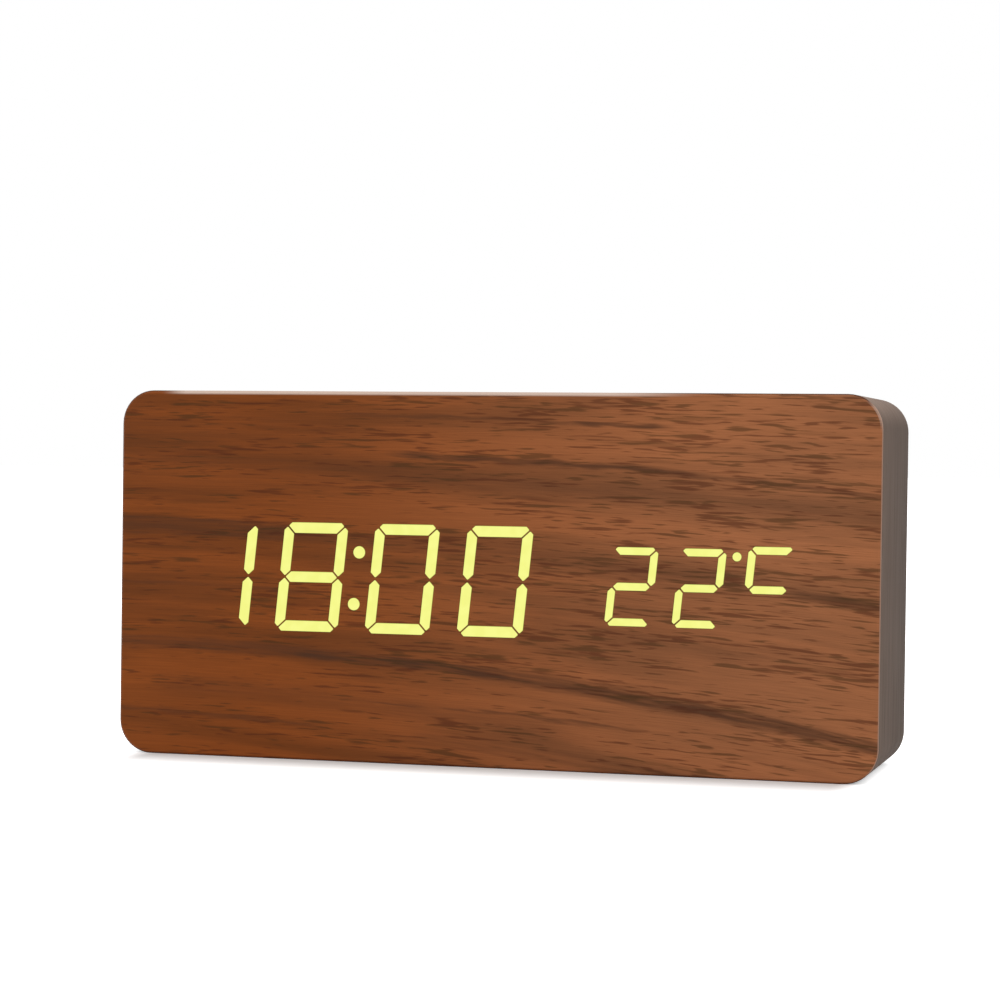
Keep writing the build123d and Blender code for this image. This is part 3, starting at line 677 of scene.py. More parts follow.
    def with_edge(self, s: Surface, wood: Value) -> Value:
        """Adds the cut edge with painted light: a pale painted highlight along the top and the
        right, dark painted shade elsewhere.

        Args:
            s: The material's surface.
            wood: Colour of the wood.

        Returns:
            The colour with its edge.
        """
        low, high = CAD_BOX
        x, y, z = s.axes(s.place)
        from_left, from_right = (x - low.x) * (1 / MM), (x - high.x) * (1 / MM)
        depth, from_top = (y - low.y) * (1 / MM), (z - high.z) * (1 / MM)
        # Painted light on the cut edge: a painted highlight at the right and along the top, painted
        # shade at the left and bottom; the top's pale colour reaches a little onto the face.
        edge = s.most([depth.smooth(0.02, 0.07), from_top.smooth(-0.85, -0.45)])
        at_right = from_right.smooth(-3.4, -1.2)
        rim = s.mix(at_right, self.shaded_edge, self.right_edge)
        rim = s.mix(depth.smooth(0.24, 0.34), wood, rim)
        # Painted highlight along the middle of the top and over the upper right corner.
        run = from_left.smooth(8.0, 14.0) * from_left.smooth(97.0, 118.0, 1.0, 0.0)
        rim = s.mix(from_top.smooth(-1.6, -0.8) * run, rim, self.top_edge)
        rim = s.mix(at_right * from_top.smooth(-7.5, -4.0, 0.0, 0.35), rim, self.top_edge)
        return s.mix(edge, wood, rim)


@dataclass(frozen=True)
class WrapFilm(Finish):
    """Matt grey-brown wood film that runs round the sides, with painted light: lighter towards the
    front, darker towards the back, and a painted highlight over the top bends.
    """

    light: Colour = srgb(102, 87, 77)
    dark: Colour = srgb(94, 79, 70)
    streak: Colour = srgb(76, 63, 55)
    layers: tuple = ((70, 4.5, 2.0), (34, 0.9, 7.0), (14, 0.32, 13.0))
    depth: float = 38.0
    front_painted_light: float = 1.13
    back_painted_shade: float = 0.84
    bend: float = 6.5
    bend_highlight: float = 2.2
    middle_share: float = 0.4

    def paint(self, s: Surface) -> None:
        """Feeds the shader; see Finish.paint."""
        x, _, z = s.axes(s.place)
        across = s.attribute("across")
        tones = []
        for length, thickness, offset in self.layers:
            slow = 1 / (length * MM)
            place = s.vector(x * slow, across * (1 / thickness) + offset, z * slow)
            tones.append(s.noise(place))
        fine = tones[2].smooth(0.52, 0.66)
        wood = s.mix(tones[0].smooth(0.3, 0.7), self.dark, self.light)
        wood = s.mix(tones[1].smooth(0.44, 0.7) * 0.32, wood, self.streak)
        wood = s.mix(fine * 0.42, wood, self.streak)

        # Painted light: the colour is drawn lighter towards the front and darker towards the back,
        # and lighter over the top bends and less over the middle of the top, as a painted highlight
        # from above.
        high, bend = CAD_BOX[1], self.bend * MM
        drift = across.smooth(0.0, self.depth, self.front_painted_light, self.back_painted_shade)
        sideways = abs(x).smooth(0.0, high.x - bend, self.middle_share, 1.0)
        painted_top_highlight = sideways * z.smooth(high.z - bend, high.z) * (self.bend_highlight - 1) + 1.0
        s.feed(
            Base_Color=s.shaded(wood, drift * painted_top_highlight),
            Roughness=fine.smooth(0.0, 1.0, 0.7, 0.8), Specular_IOR_Level=0.03,
        )
        s.bump(fine, 0.25, 0.00003)


@dataclass(frozen=True)
class Fibreboard(Finish):
    """Raw pressed board with short fibres and specks."""

    light: Colour = srgb(206, 178, 142)
    dark: Colour = srgb(166, 136, 102)

    def paint(self, s: Surface) -> None:
        """Feeds the shader; see Finish.paint."""
        fibres = s.noise(s.place, 900.0, 4.0, 0.65)
        tone = (fibres * 0.7 + s.noise(s.place, 120.0) * 0.3).smooth(0.4, 0.62)
        s.feed(
            Base_Color=s.mix(tone, self.dark, self.light), Roughness=0.85,
            Specular_IOR_Level=0.2,
        )
        s.bump(fibres, 0.5, 0.00006)


@dataclass(frozen=True)
class MouldedPlastic(Finish):
    """Moulded plastic with a fine eroded texture and faint patches of wear."""

    colour: Colour
    roughness: float
    grain: float
    depth: float = 0.00002
    contrast: float = 0.16

    def paint(self, s: Surface) -> None:
        """Feeds the shader; see Finish.paint."""
        skin = s.use("moulded_skin", Vector=s.place, Grain=self.grain)
        height, patches = skin["Height"], skin["Patches"] - 0.5
        shade = patches * (self.contrast * 2) + 1.0
        s.feed(
            Base_Color=s.shaded(self.colour, (height - 0.5) * self.contrast + shade),
            Roughness=patches * 0.2 + self.roughness, Specular_IOR_Level=0.3,
        )
        s.bump(height, 0.6, self.depth)


@dataclass(frozen=True)
class PlatedMetal(Finish):
    """Plated metal with fine scratches and dull patches, and painted shade deep in a hollow that
    the mesh marks.
    """

    colour: Colour
    roughness: float
    recess: Colour = srgb(52, 52, 54)

    def paint(self, s: Surface) -> None:
        """Feeds the shader; see Finish.paint."""
        marks = s.use("handling_marks", Vector=s.place)
        colour = s.shaded(self.colour, marks["Dullness"].smooth(0.3, 0.7, 0.85, 1.05))
        # Painted shade: darker deep in a screw's cross, where the mesh marks it.
        s.feed(
            Base_Color=s.mix(s.attribute("recess") * 0.85, colour, self.recess), Metallic=1.0,
            Roughness=(marks["Scratches"] - 0.5) * 0.3 + self.roughness,
        )
        s.bump(marks["Scratches"], 0.3, 0.00001)


@dataclass(frozen=True)
class LitLens(Finish):
    """Diffusing lens lit from behind, dimmer at its broken edge."""

    glow: Colour = srgb(248, 250, 144)
    dimmer: Colour = srgb(244, 246, 137)
    rim: Colour = srgb(150, 146, 66)
    body: Colour = srgb(30, 30, 14)

    def paint(self, s: Surface) -> None:
        """Feeds the shader; see Finish.paint."""
        drift = s.noise(s.place, 420.0, 1.0).smooth(0.35, 0.65)
        front = CAD_BOX[0].y
        edge = s.axes(s.place)[1].smooth(front + 0.01 * MM, front + 0.06 * MM)
        light = s.mix(edge, s.mix(drift, self.dimmer, self.glow), self.rim)
        s.feed(
            Emission_Color=light, Emission_Strength=1.0, Base_Color=self.body, Roughness=0.8,
            Specular_IOR_Level=0.0,
        )


@dataclass(frozen=True)
class SleeveFilm(Finish):
    """Glossy shrink sleeve of a cell: dark, with a bright band near its raised end."""

    body: Colour = srgb(34, 44, 62)
    band: Colour = srgb(196, 148, 74)
    line: Colour = srgb(222, 222, 216)
    band_start: float = 38.5
    line_start: float = 37.3
    line_width: float = 0.6
    blur: float = 0.05

    def paint(self, s: Surface) -> None:
        """Feeds the shader; see Finish.paint."""
        run = s.attribute("across")
        skin = s.use("moulded_skin", Vector=s.place, Grain=0.8, Drift=9.0)
        banded = run.smooth(self.band_start, self.band_start + self.blur)
        end = self.line_start + self.line_width
        lined = run.smooth(self.line_start, self.line_start + self.blur)
        lined = lined * run.smooth(end, end + self.blur, 1.0, 0.0)
        colour = s.mix(lined, s.mix(banded, self.body, self.band), self.line)
        patches = skin["Patches"]
        s.feed(
            Base_Color=s.shaded(colour, patches.smooth(0.3, 0.7, 0.88, 1.06)),
            Metallic=banded * 0.6, Roughness=patches.smooth(0.3, 0.7, 0.24, 0.34),
        )
        s.bump(skin["Height"], 0.3, 0.00001)


@dataclass(frozen=True)
class BoardLacquer(Finish):
    """Green board lacquer over paler tracks, with plated vias."""

    lacquer: Colour = srgb(22, 84, 48)
    track: Colour = srgb(46, 122, 70)
    plating: Colour = srgb(176, 168, 132)
    track_pitch: float = 1.27

    def paint(self, s: Surface) -> None:
        """Feeds the shader; see Finish.paint."""
        x, _, z = s.axes(s.place)
        flat = {"Vector": s.vector(x, z)}
        blocks = {"voronoi_dimensions": "2D", "distance": "CHEBYCHEV"}
        areas = s.axes(s.add("TexVoronoi", blocks, **flat, Scale=110.0)["Color"])
        pick = s.math("GREATER_THAN", areas[0], 0.5)
        way = x * pick + z * (1.0 - pick)
        phase = s.math("FRACT", way * (1 / (self.track_pitch * MM)))
        line = abs(phase - 0.5).smooth(0.14, 0.2, 1.0, 0.0)
        line = line * s.math("GREATER_THAN", areas[1], 0.35)
        vias = s.add("TexVoronoi", {"voronoi_dimensions": "2D"}, **flat, Scale=210.0)
        dot = vias["Distance"].smooth(0.05, 0.09, 1.0, 0.0)
        colour = s.mix(dot, s.mix(line, self.lacquer, self.track), self.plating)
        s.feed(Base_Color=colour, Metallic=dot, Roughness=0.32)
        s.bump(line, 0.4, 0.00003)


class Coat(Enum):
    """Every finish of the clock, by what it is used for."""

    FACE = WalnutFilm("walnut_film", "face_wood")
    WRAP = WrapFilm("wrap_film", "side_wood")
    BOARD = Fibreboard("raw_fibreboard", "board_wood")
    PANEL = MouldedPlastic("panel_black", "dark_plastic", srgb(33, 33, 35), 0.5, 0.45, 0.00006)
    DISPLAY = MouldedPlastic("display_black", "display_plastic", srgb(46, 46, 50), 0.55, 0.2)
    LIT = LitLens("glowing_lens", "lit_lens")
    DARK = MouldedPlastic("milky_lens", "dark_lens", srgb(170, 172, 150), 0.35, 0.2)
    CHIP = MouldedPlastic("light_chip", "chip_white", srgb(236, 222, 150), 0.4, 0.15)
    LACQUER = BoardLacquer("board_lacquer", "board_green")
    PACKAGE = MouldedPlastic("chip_package", "chip_black", srgb(36, 36, 38), 0.6, 0.12)
    TINNED = PlatedMetal("tinned_metal", "tinned", srgb(214, 212, 206), 0.28)
    SCREW = PlatedMetal("zinc_screw", "screw_steel", srgb(164, 166, 170), 0.34)
    NICKEL = PlatedMetal("nickel_strip", "nickel", srgb(216, 208, 194), 0.22)
    CAN = PlatedMetal("drawn_can", "can_metal", srgb(198, 198, 200), 0.36)
    BUTTON = MouldedPlastic("button_black", "button_plastic", srgb(44, 44, 48), 0.38, 0.25)
    SWITCH = MouldedPlastic("switch_body", "switch_black", srgb(32, 32, 33), 0.5, 0.2)
    PLUNGER = MouldedPlastic("plunger_cream", "plunger_plastic", srgb(204, 200, 188), 0.45, 0.2)
    SLEEVE = SleeveFilm("shrink_sleeve", "cell_sleeve")
    SIGN = MouldedPlastic("sign_white", "plunger_plastic", srgb(196, 194, 188), 0.55, 0.2)
    SPACER = MouldedPlastic("nylon_spacer", "spacer_plastic", srgb(222, 220, 210), 0.5, 0.25)
    SOCKET = MouldedPlastic("socket_cream", "socket_plastic", srgb(228, 222, 204), 0.45, 0.25)
    RIBBON = MouldedPlastic("ribbon_sleeve", "ribbon_grey", srgb(140, 140, 146), 0.5, 0.4)
    LEAD_BLACK = MouldedPlastic("black_sleeve", "lead_black", srgb(30, 30, 30), 0.4, 0.3)
    LEAD_RED = MouldedPlastic("red_sleeve", "lead_red", srgb(176, 28, 22), 0.4, 0.3)

    def material(self) -> bpy.types.Material:
        """Gives the finish's material."""
        return self.value.material()


# Meshes


def middle_of(box: Box) -> Vector:
    """Middle of a box."""
    return (box[0] + box[1]) / 2


def face_middle(box: Box, side: int) -> tuple[float, float, float]:
    """Middle of a box's front, where side is 0, or of its back, where it is 1."""
    middle = middle_of(box)
    return middle.x, box[side].y, middle.z


def merged(node: str) -> bmesh.types.BMesh:
    """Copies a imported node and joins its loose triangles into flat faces.

    Args:
        node: Name of the node.

    Returns:
        The copy, which the caller frees.
    """
    shell = bmesh.new()
    shell.from_mesh(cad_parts[node].data)
    bmesh.ops.remove_doubles(shell, verts=shell.verts, dist=WELD)
    bmesh.ops.dissolve_limit(
        shell, angle_limit=math.radians(0.4), verts=shell.verts, edges=shell.edges
    )
    return shell


def solids_of(node: str) -> list[Box]:
    """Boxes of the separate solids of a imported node.

    Args:
        node: Name of the node.

    Returns:
        Lowest and highest corner of each solid, from left to right, then upwards.
    """
    shell = merged(node)
    left = set(shell.verts)
    boxes = []
    while left:
        edge_of_search = [left.pop()]
        places = []
        while edge_of_search:
            vertex = edge_of_search.pop()
            places.append(vertex.co.copy())
            near = {edge.other_vert(vertex) for edge in vertex.link_edges} & left
            left -= near
            edge_of_search += near
        boxes.append(tuple(
            Vector([pick(place[axis] for place in places) for axis in range(3)])
            for pick in (min, max)
        ))
    shell.free()
    return sorted(boxes, key=lambda box: (round(box[0].x, 5), box[0].z))


def mesh_of(shell: bmesh.types.BMesh, name: str) -> Mesh:
    """Turns a bmesh into a mesh and frees it.

    Args:
        shell: The bmesh.
        name: Name of the new mesh.

    Returns:
        The mesh.
    """
    mesh = bpy.data.meshes.new(name)
    shell.to_mesh(mesh)
    shell.free()
    return mesh


def plain_mesh(name: str, points: list, edges: tuple | list = (), faces: tuple = ()) -> Mesh:
    """Makes a mesh of points.

    Args:
        name: Name of the mesh.
        points: The points in metres.
        edges: Pairs of points that an edge joins.
        faces: Rings of points that a face spans.

    Returns:
        The mesh.
    """
    mesh = bpy.data.meshes.new(name)
    mesh.from_pydata([tuple(point) for point in points], edges, faces)
    return mesh


def evaluated(mesh: Mesh, add_modifiers: Callable) -> Mesh:
    """Runs modifiers on a mesh.

    Args:
        mesh: The mesh to start from.
        add_modifiers: Function that adds the modifiers to an object.

    Returns:
        A plain mesh of the result.
    """
    carrier = placed(mesh.name, mesh)
    add_modifiers(carrier)
    graph = bpy.context.evaluated_depsgraph_get()
    result = bpy.data.meshes.new_from_object(carrier.evaluated_get(graph))
    result.name = mesh.name
    bpy.data.objects.remove(carrier)
    bpy.data.meshes.remove(mesh)
    return result


def placed(name: str, data: bpy.types.ID) -> bpy.types.Object:
    """Puts an object with the given data into the scene.

    Args:
        name: Name of the object.
        data: Its mesh, lamp or camera.

    Returns:
        The object.
    """
    item = bpy.data.objects.new(name, data)
    bpy.context.scene.collection.objects.link(item)
    return item


def softened(mesh: Mesh, width: float, steps: int = 2) -> Mesh:
    """Breaks the sharp edges of a mesh.

    Args:
        mesh: The mesh.
        width: Width of the broken edge in millimetres.
        steps: Segments across it.

    Returns:
        The mesh with rounded edges and clean shading.
    """
    mesh.shade_smooth()

    def add(carrier: bpy.types.Object) -> None:
        """Adds the Bevel modifier and keeps flat faces evenly lit."""
        bevel = carrier.modifiers.new("broken_edges", "BEVEL")
        bevel.width, bevel.segments = width * MM, steps
        bevel.limit_method, bevel.angle_limit = "ANGLE", math.radians(SHARP)
        evened = carrier.modifiers.new("even_faces", "WEIGHTED_NORMAL")
        evened.weight, evened.keep_sharp = 100, True

    return evaluated(mesh, add)


def settled(mesh: Mesh, sharp: float = SHARP) -> Mesh:
    """Points a closed mesh outwards and smooths it between its sharp edges.

    Args:
        mesh: The mesh.
        sharp: Angle in degrees from which an edge stays sharp.

    Returns:
        The same mesh.
    """
    shell = bmesh.new()
    shell.from_mesh(mesh)
    bmesh.ops.remove_doubles(shell, verts=shell.verts, dist=WELD)
    bmesh.ops.recalc_face_normals(shell, faces=shell.faces)
    shell.to_mesh(mesh)
    shell.free()
    mesh.shade_smooth()
    mesh.set_sharp_from_angle(angle=math.radians(sharp))
    return mesh


def moved(mesh: Mesh, x: float, y: float, z: float) -> Mesh:
    """Moves a mesh and gives it back."""
    mesh.transform(Matrix.Translation((x, y, z)))
    return mesh


def outline_mesh(name: str, points: Outline, closed: bool) -> Mesh:
    """Makes a mesh of edges for a profile.

    Args:
        name: Name of the mesh.
        points: Points in millimetres, outwards and along.
        closed: True where the last point joins the first.

    Returns:
        The mesh, with the millimetres run along the profile as the attribute "across".
    """
    edges = [(index, index + 1) for index in range(len(points) - 1)]
    if closed:
        edges.append((len(points) - 1, 0))
    mesh = plain_mesh(name, [(x * MM, y * MM, 0.0) for x, y in points], edges)
    across = mesh.attributes.new("across", "FLOAT", "POINT")
    run = 0.0
    for index, point in enumerate(points):
        run += math.dist(point, points[index - 1]) if index else 0.0
        across.data[index].value = run
    return mesh


def arc(
    centre: tuple[float, float], radius: float, start: float, end: float, steps: int
) -> Outline:
    """Points of a round corner.

    Args:
        centre: Its centre.
        radius: Its radius.
        start: First angle in degrees.
        end: Last angle in degrees.
        steps: Number of runs between them.

    Returns:
        The points, both ends among them.
    """
    angles = [math.radians(start + (end - start) * step / steps) for step in range(steps + 1)]
    return [(centre[0] + radius * math.cos(a), centre[1] + radius * math.sin(a)) for a in angles]


def oblong(x: float, z: float) -> Outline:
    """Corners of a rectangle about the origin, from half its width and half its height."""
    return [(-x, -z), (x, -z), (x, z), (-x, z)]


# Geometry Nodes trees


class Trees(Library):
    """Trees that turn a mesh into a shape."""

    @classmethod
    def grow(cls, kind: str, mesh: Mesh, **values: object) -> Mesh:
        """Runs a tree on a mesh.

        Args:
            kind: Name of the method below that builds the tree.
            mesh: What goes into it, such as a profile or the places of copies.
            **values: Its inputs, with underscores for the spaces in their names.

        Returns:
            A plain mesh of the result.
        """
        tree = cls.get(kind)
        names = {
            item.name.replace(" ", "_"): item.identifier
            for item in tree.interface.items_tree
            if item.item_type == "SOCKET" and item.in_out == "INPUT"
        }

        def add(carrier: bpy.types.Object) -> None:
            """Adds the modifier with its values."""
            modifier = carrier.modifiers.new(kind, "NODES")
            modifier.node_group = tree
            for name, value in values.items():
                modifier[names[name]] = value

        return evaluated(mesh, add)

    @classmethod
    def grow_with(cls, kind: str, mesh: Mesh, role: str, other: Mesh, **values: object) -> Mesh:
        """Runs a tree that takes a second shape, and removes that shape afterwards.

        Args:
            kind: Name of the method that builds the tree.
            mesh: What goes into it.
            role: Name of the input for the second shape.
            other: The second shape.
            **values: The tree's other inputs.

        Returns:
            A plain mesh of the result.
        """
        helper = placed(other.name, other)
        grown = cls.grow(kind, mesh, **{role: helper}, **values)
        bpy.data.objects.remove(helper)
        bpy.data.meshes.remove(other)
        return grown

    @staticmethod
    def start(name: str, **inputs: object) -> Group:
        """Starts a tree that takes and gives a mesh.

        Args:
            name: Name of the tree.
            **inputs: Its further inputs; see Group.

        Returns:
            The group to build in.
        """
        return Group(
            name, ("Geometry",), "GeometryNode", Geometry="Geometry", **inputs,
            Material="Material",
        )

    @staticmethod
    def end(g: Group, shape: Value) -> Tree:
        """Ends a tree in real geometry with its material.

        Args:
            g: The group.
            shape: Its shape.

        Returns:
            The finished tree.
        """
        real = g.add("RealizeInstances", Geometry=shape)[0]
        return g.finish(Geometry=g.add("SetMaterial", Geometry=real, Material=g["Material"])[0])

    @staticmethod
    def cut_out(g: Group, cutter: Value) -> Value:
        """Cuts a closed shape out of the mesh that goes into a tree."""
        settings = {"operation": "DIFFERENCE", "solver": "EXACT"}
        return g.add("MeshBoolean", settings, Mesh_1=g["Geometry"], Mesh_2=cutter)[0]

    @classmethod
    def turned(cls) -> Tree:
        """Turns a profile of radius and depth about the Y axis.

        Returns:
            The tree.
        """
        g = cls.start("turned", Steps=40, Hub=MM)
        ring = g.add("CurvePrimitiveCircle", Resolution=g["Steps"], Radius=g["Hub"])[0]
        profile = g.add("MeshToCurve", Mesh=g["Geometry"])[0]
        inwards = g.vector(g["Hub"] * -1.0, 0.0)
        profile = g.add("Transform", Geometry=profile, Translation=inwards)[0]
        skin = g.add("CurveToMesh", Curve=ring, Profile_Curve=profile)[0]
        upright = g.add("Transform", Geometry=skin, Rotation=UPRIGHT)[0]
        return cls.end(g, g.add("MergeByDistance", Geometry=upright, Distance=1e-6)[0])

    @classmethod
    def framed(cls) -> Tree:
        """Runs a profile of outward reach and depth round a rounded rectangle.

        Returns:
            The tree.
        """
        g = cls.start(
            "framed", Width=0.0, Height=0.0, Corner_Radius=0.0, Corner_Steps=14,
            Middle="Vector",
        )
        path = g.add("CurvePrimitiveQuadrilateral", Width=g["Width"], Height=g["Height"])[0]
        rounded = g.add(
            "FilletCurve", {"mode": "POLY"}, Curve=path, Count=g["Corner Steps"],
            Radius=g["Corner Radius"],
        )[0]
        profile = g.add("MeshToCurve", Mesh=g["Geometry"])[0]
        skin = g.add("CurveToMesh", Curve=rounded, Profile_Curve=profile)[0]
        return cls.end(
            g, g.add("Transform", Geometry=skin, Rotation=UPRIGHT, Translation=g["Middle"])[0]
        )

    @classmethod
    def repeated(cls) -> Tree:
        """Sets a copy of a pattern at every place, turned by the place's own angles.

        Returns:
            The tree.
        """
        g = cls.start("repeated", Pattern="Object")
        pattern = g.add("ObjectInfo", Object=g["Pattern"])["Geometry"]
        angles = g.add("InputNamedAttribute", {"data_type": "FLOAT_VECTOR"}, Name="turn")[0]
        turn = g.add("FunctionNodeEulerToRotation", Euler=angles)[0]
        return cls.end(g, g.add(
            "InstanceOnPoints", Points=g["Geometry"], Instance=pattern, Rotation=turn
        )[0])

    @classmethod
    def recessed(cls) -> Tree:
        """Cuts a cross into the back of a shape and adds a thread along its Y axis.

        Returns:
            The tree.
        """
        g = cls.start(
            "recessed", Reach=0.0, Width=0.0, Depth=0.0, Top=0.0, Shank=0.0, Thread=0.0,
            Turns=0.0, Thread_End=0.0, Thread_Length=0.0,
        )
        reach, width, depth, top = (g[name] for name in ("Reach", "Width", "Depth", "Top"))
        double = depth * 2.0
        bars = [
            g.add("MeshCube", Size=g.vector(x, double, z))[0]
            for x, z in ((reach, width), (width, reach))
        ]
        cross = g.add("MeshBoolean", {"operation": "UNION", "solver": "EXACT"}, Mesh_2=bars)[0]
        raised = g.add("Transform", Geometry=cross, Translation=g.vector(0.0, top))[0]
        # Marks where the cross lies deep, for the painted shade that the metal's colour gets there.
        x, y, z = g.axes(g.add("InputPosition")[0])
        within = g.math("LESS_THAN", g.math("SQRT", x * x + z * z), reach * 0.53)
        level = (top - y) / depth
        deep = level.smooth(0.05, 0.7) * g.math("LESS_THAN", level, 1.05)
        marked = g.add(
            "StoreNamedAttribute", {"data_type": "FLOAT", "domain": "POINT"},
            Geometry=cls.cut_out(g, raised), Name="recess", Value=within * deep,
        )[0]
        helix = g.add(
            "CurveSpiral", Resolution=16, Rotations=g["Turns"], Start_Radius=g["Shank"],
            End_Radius=g["Shank"], Height=g["Thread Length"],
        )[0]
        ridge = g.add("CurvePrimitiveCircle", Resolution=3, Radius=g["Thread"])[0]
        thread = g.add("CurveToMesh", Curve=helix, Profile_Curve=ridge, Fill_Caps=True)[0]
        laid = g.add(
            "Transform", Geometry=thread, Rotation=(-math.pi / 2, 0.0, 0.0),
            Translation=g.vector(0.0, g["Thread End"]),
        )[0]
        return cls.end(g, g.add("JoinGeometry", None, [marked, laid])[0])

    @classmethod
    def carved(cls) -> Tree:
        """Cuts one closed shape out of another."""
        g = cls.start("carved", Cutter="Object")
        return cls.end(g, cls.cut_out(g, g.add("ObjectInfo", Object=g["Cutter"])["Geometry"]))

    @classmethod
    def laid(cls) -> Tree:
        """Lays a closed profile along a path and rounds the path's bends.

        Returns:
            The tree.
        """
        g = cls.start("laid", Profile="Object", Bend=0.0, Bend_Steps=8)
        path = g.add("MeshToCurve", Mesh=g["Geometry"])[0]
        bent = g.add(
            "FilletCurve", {"mode": "POLY"}, Curve=path, Count=g["Bend Steps"],
            Radius=g["Bend"], Limit_Radius=True,
        )[0]
        drawn = g.add("ObjectInfo", Object=g["Profile"])["Geometry"]
        profile = g.add("MeshToCurve", Mesh=drawn)[0]
        return cls.end(
            g, g.add("CurveToMesh", Curve=bent, Profile_Curve=profile, Fill_Caps=True)[0]
        )


def turned(name: str, profile: Outline, steps: int = 40, sharp: float = SHARP) -> Mesh:
    """Turns a profile about the Y axis.

    Args:
        name: Name of the mesh.
        profile: Points of radius and depth in millimetres, from the axis back to the axis.
        steps: Number of sides.
        sharp: Angle in degrees from which an edge stays sharp.

    Returns:
        The closed mesh.
    """
    return settled(Trees.grow("turned", outline_mesh(name, profile, False), Steps=steps), sharp)


def carved(mesh: Mesh, cutter: Mesh, coat: Coat) -> Mesh:
    """Cuts a closed shape, which is removed, out of a mesh."""
    return Trees.grow_with("carved", mesh, "Cutter", cutter, Material=coat.material())


def laid(name: str, runs: list, section: Outline, bend: float, coat: Coat) -> Mesh:
    """Lays a closed section along runs of points.

    Args:
        name: Name of the mesh.
        runs: Points of each run in metres.
        section: The section in millimetres.
        bend: Radius of the bends in millimetres.
        coat: Its finish.

    Returns:
        The mesh.
    """
    points, edges = [], []
    for run in runs:
        edges += [(len(points) + index, len(points) + index + 1) for index in range(len(run) - 1)]
        points += run
    return Trees.grow_with(
        "laid", plain_mesh(name, points, edges), "Profile",
        outline_mesh(name + "_section", section, True), Bend=bend * MM, Material=coat.material(),
    )


def prism(name: str, outline: Outline, front: float, back: float) -> Mesh:
    """Makes a flat solid that faces the back.

    Args:
        name: Name of the mesh.
        outline: Points in X and Z in millimetres.
        front: Depth of its front in millimetres.
        back: Depth of its back in millimetres.

    Returns:
        The closed mesh.
    """
    shell = bmesh.new()
    base = shell.faces.new([shell.verts.new((x * MM, front * MM, z * MM)) for x, z in outline])
    grown = bmesh.ops.extrude_face_region(shell, geom=[base], use_keep_orig=True)
    raised = [item for item in grown["geom"] if isinstance(item, bmesh.types.BMVert)]
    bmesh.ops.translate(shell, verts=raised, vec=(0.0, (back - front) * MM, 0.0))
    bmesh.ops.recalc_face_normals(shell, faces=shell.faces)
    return mesh_of(shell, name)


# Pieces


def add_piece(name: str, mesh: Mesh, coat: Coat, body: str, *nodes: str) -> None:
    """Adds a finished piece to the clock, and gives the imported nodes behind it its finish.

    Args:
        name: Name of the piece.
        mesh: Its mesh, already in place.
        coat: Its finish.
        body: The body it rides on.
        *nodes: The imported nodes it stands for.
    """
    for target in (mesh, *(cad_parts[node].data for node in nodes)):
        target.materials.clear()
        target.materials.append(coat.material())
    piece = placed(name, mesh)
    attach(piece, body)
    if nodes:
        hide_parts(*nodes)
    mesh.calc_loop_triangles()
    log.info("%s: %d triangles on %s", name, len(mesh.loop_triangles), body)


def add_softened(
    node: str, name: str, coat: Coat, width: float, body: str = CASE, steps: int = 2
) -> None:
    """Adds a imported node's own shape with broken edges.

    Args:
        node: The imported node.
        name: Name of the piece.
        coat: Its finish.
        width: Width of the broken edges in millimetres.
        body: The body it rides on.
        steps: Segments across the broken edges.
    """
    add_piece(name, softened(mesh_of(merged(node), name), width, steps), coat, body, node)


def add_copies(
    name: str, pattern: Mesh, places: list, coat: Coat, *nodes: str,
    turns: list | None = None, sharp: float | None = None,
) -> None:
    """Sets copies of a pattern at places and adds them to the case as one piece.

    Args:
        name: Name of the piece.
        pattern: The pattern about the origin; it is removed.
        places: Places of the copies.
        coat: Finish of the copies.
        *nodes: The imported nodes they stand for.
        turns: Angles of each copy in radians, where copies are turned.
        sharp: Angle in degrees from which an edge stays sharp, where they are settled again.
    """
    spots = plain_mesh(name, places)
    turn = spots.attributes.new("turn", "FLOAT_VECTOR", "POINT")
    for index, angles in enumerate(turns or [NO_TURN] * len(places)):
        turn.data[index].vector = angles
    mesh = Trees.grow_with("repeated", spots, "Pattern", pattern, Material=coat.material())
    add_piece(name, settled(mesh, sharp) if sharp else mesh, coat, CASE, *nodes)


@dataclass
class Casing:
    """Face, wrap, ring, front board and corner blocks of the case."""

    corner_radius: float = 6.5
    film: float = 0.35
    back_round: float = 0.25
    rim_reach: float = 3.35
    ring_edge: float = 0.25
    board_edge: float = 0.2
    face_edge: float = 0.07

    def build(self) -> None:
        """Makes the pieces of the case."""
        self.make_wrap()
        for node, edge in (
            ("case_ring", self.ring_edge), ("front_board", self.board_edge),
            ("corner_blocks", self.board_edge),
        ):
            add_softened(node, node + "_broken", Coat.BOARD, edge)
        add_softened("face_film", "face_sheet", Coat.FACE, self.face_edge)

    def make_wrap(self) -> None:
        """Makes the film that runs round the sides and turns in over the rim at the back."""
        low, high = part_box("side_wrap")
        front, back = low.y / MM, high.y / MM
        film, bend, reach = self.film, self.back_round, self.rim_reach
        profile = [
            (0.0, front), *arc((-bend, back - bend), bend, 0, 90, 5), (-reach, back),
            (-reach, back - film), (-film, back - film), (-film, front),
        ]
        mesh = Trees.grow(
            "framed", outline_mesh("side_wrap_film", profile, True), Width=high.x - low.x,
            Height=high.z - low.z, Corner_Radius=self.corner_radius * MM,
            Middle=(0.0, 0.0, (low.z + high.z) / 2), Material=Coat.WRAP.material(),
        )
        add_piece("side_wrap_film", settled(mesh), Coat.WRAP, CASE, "side_wrap")


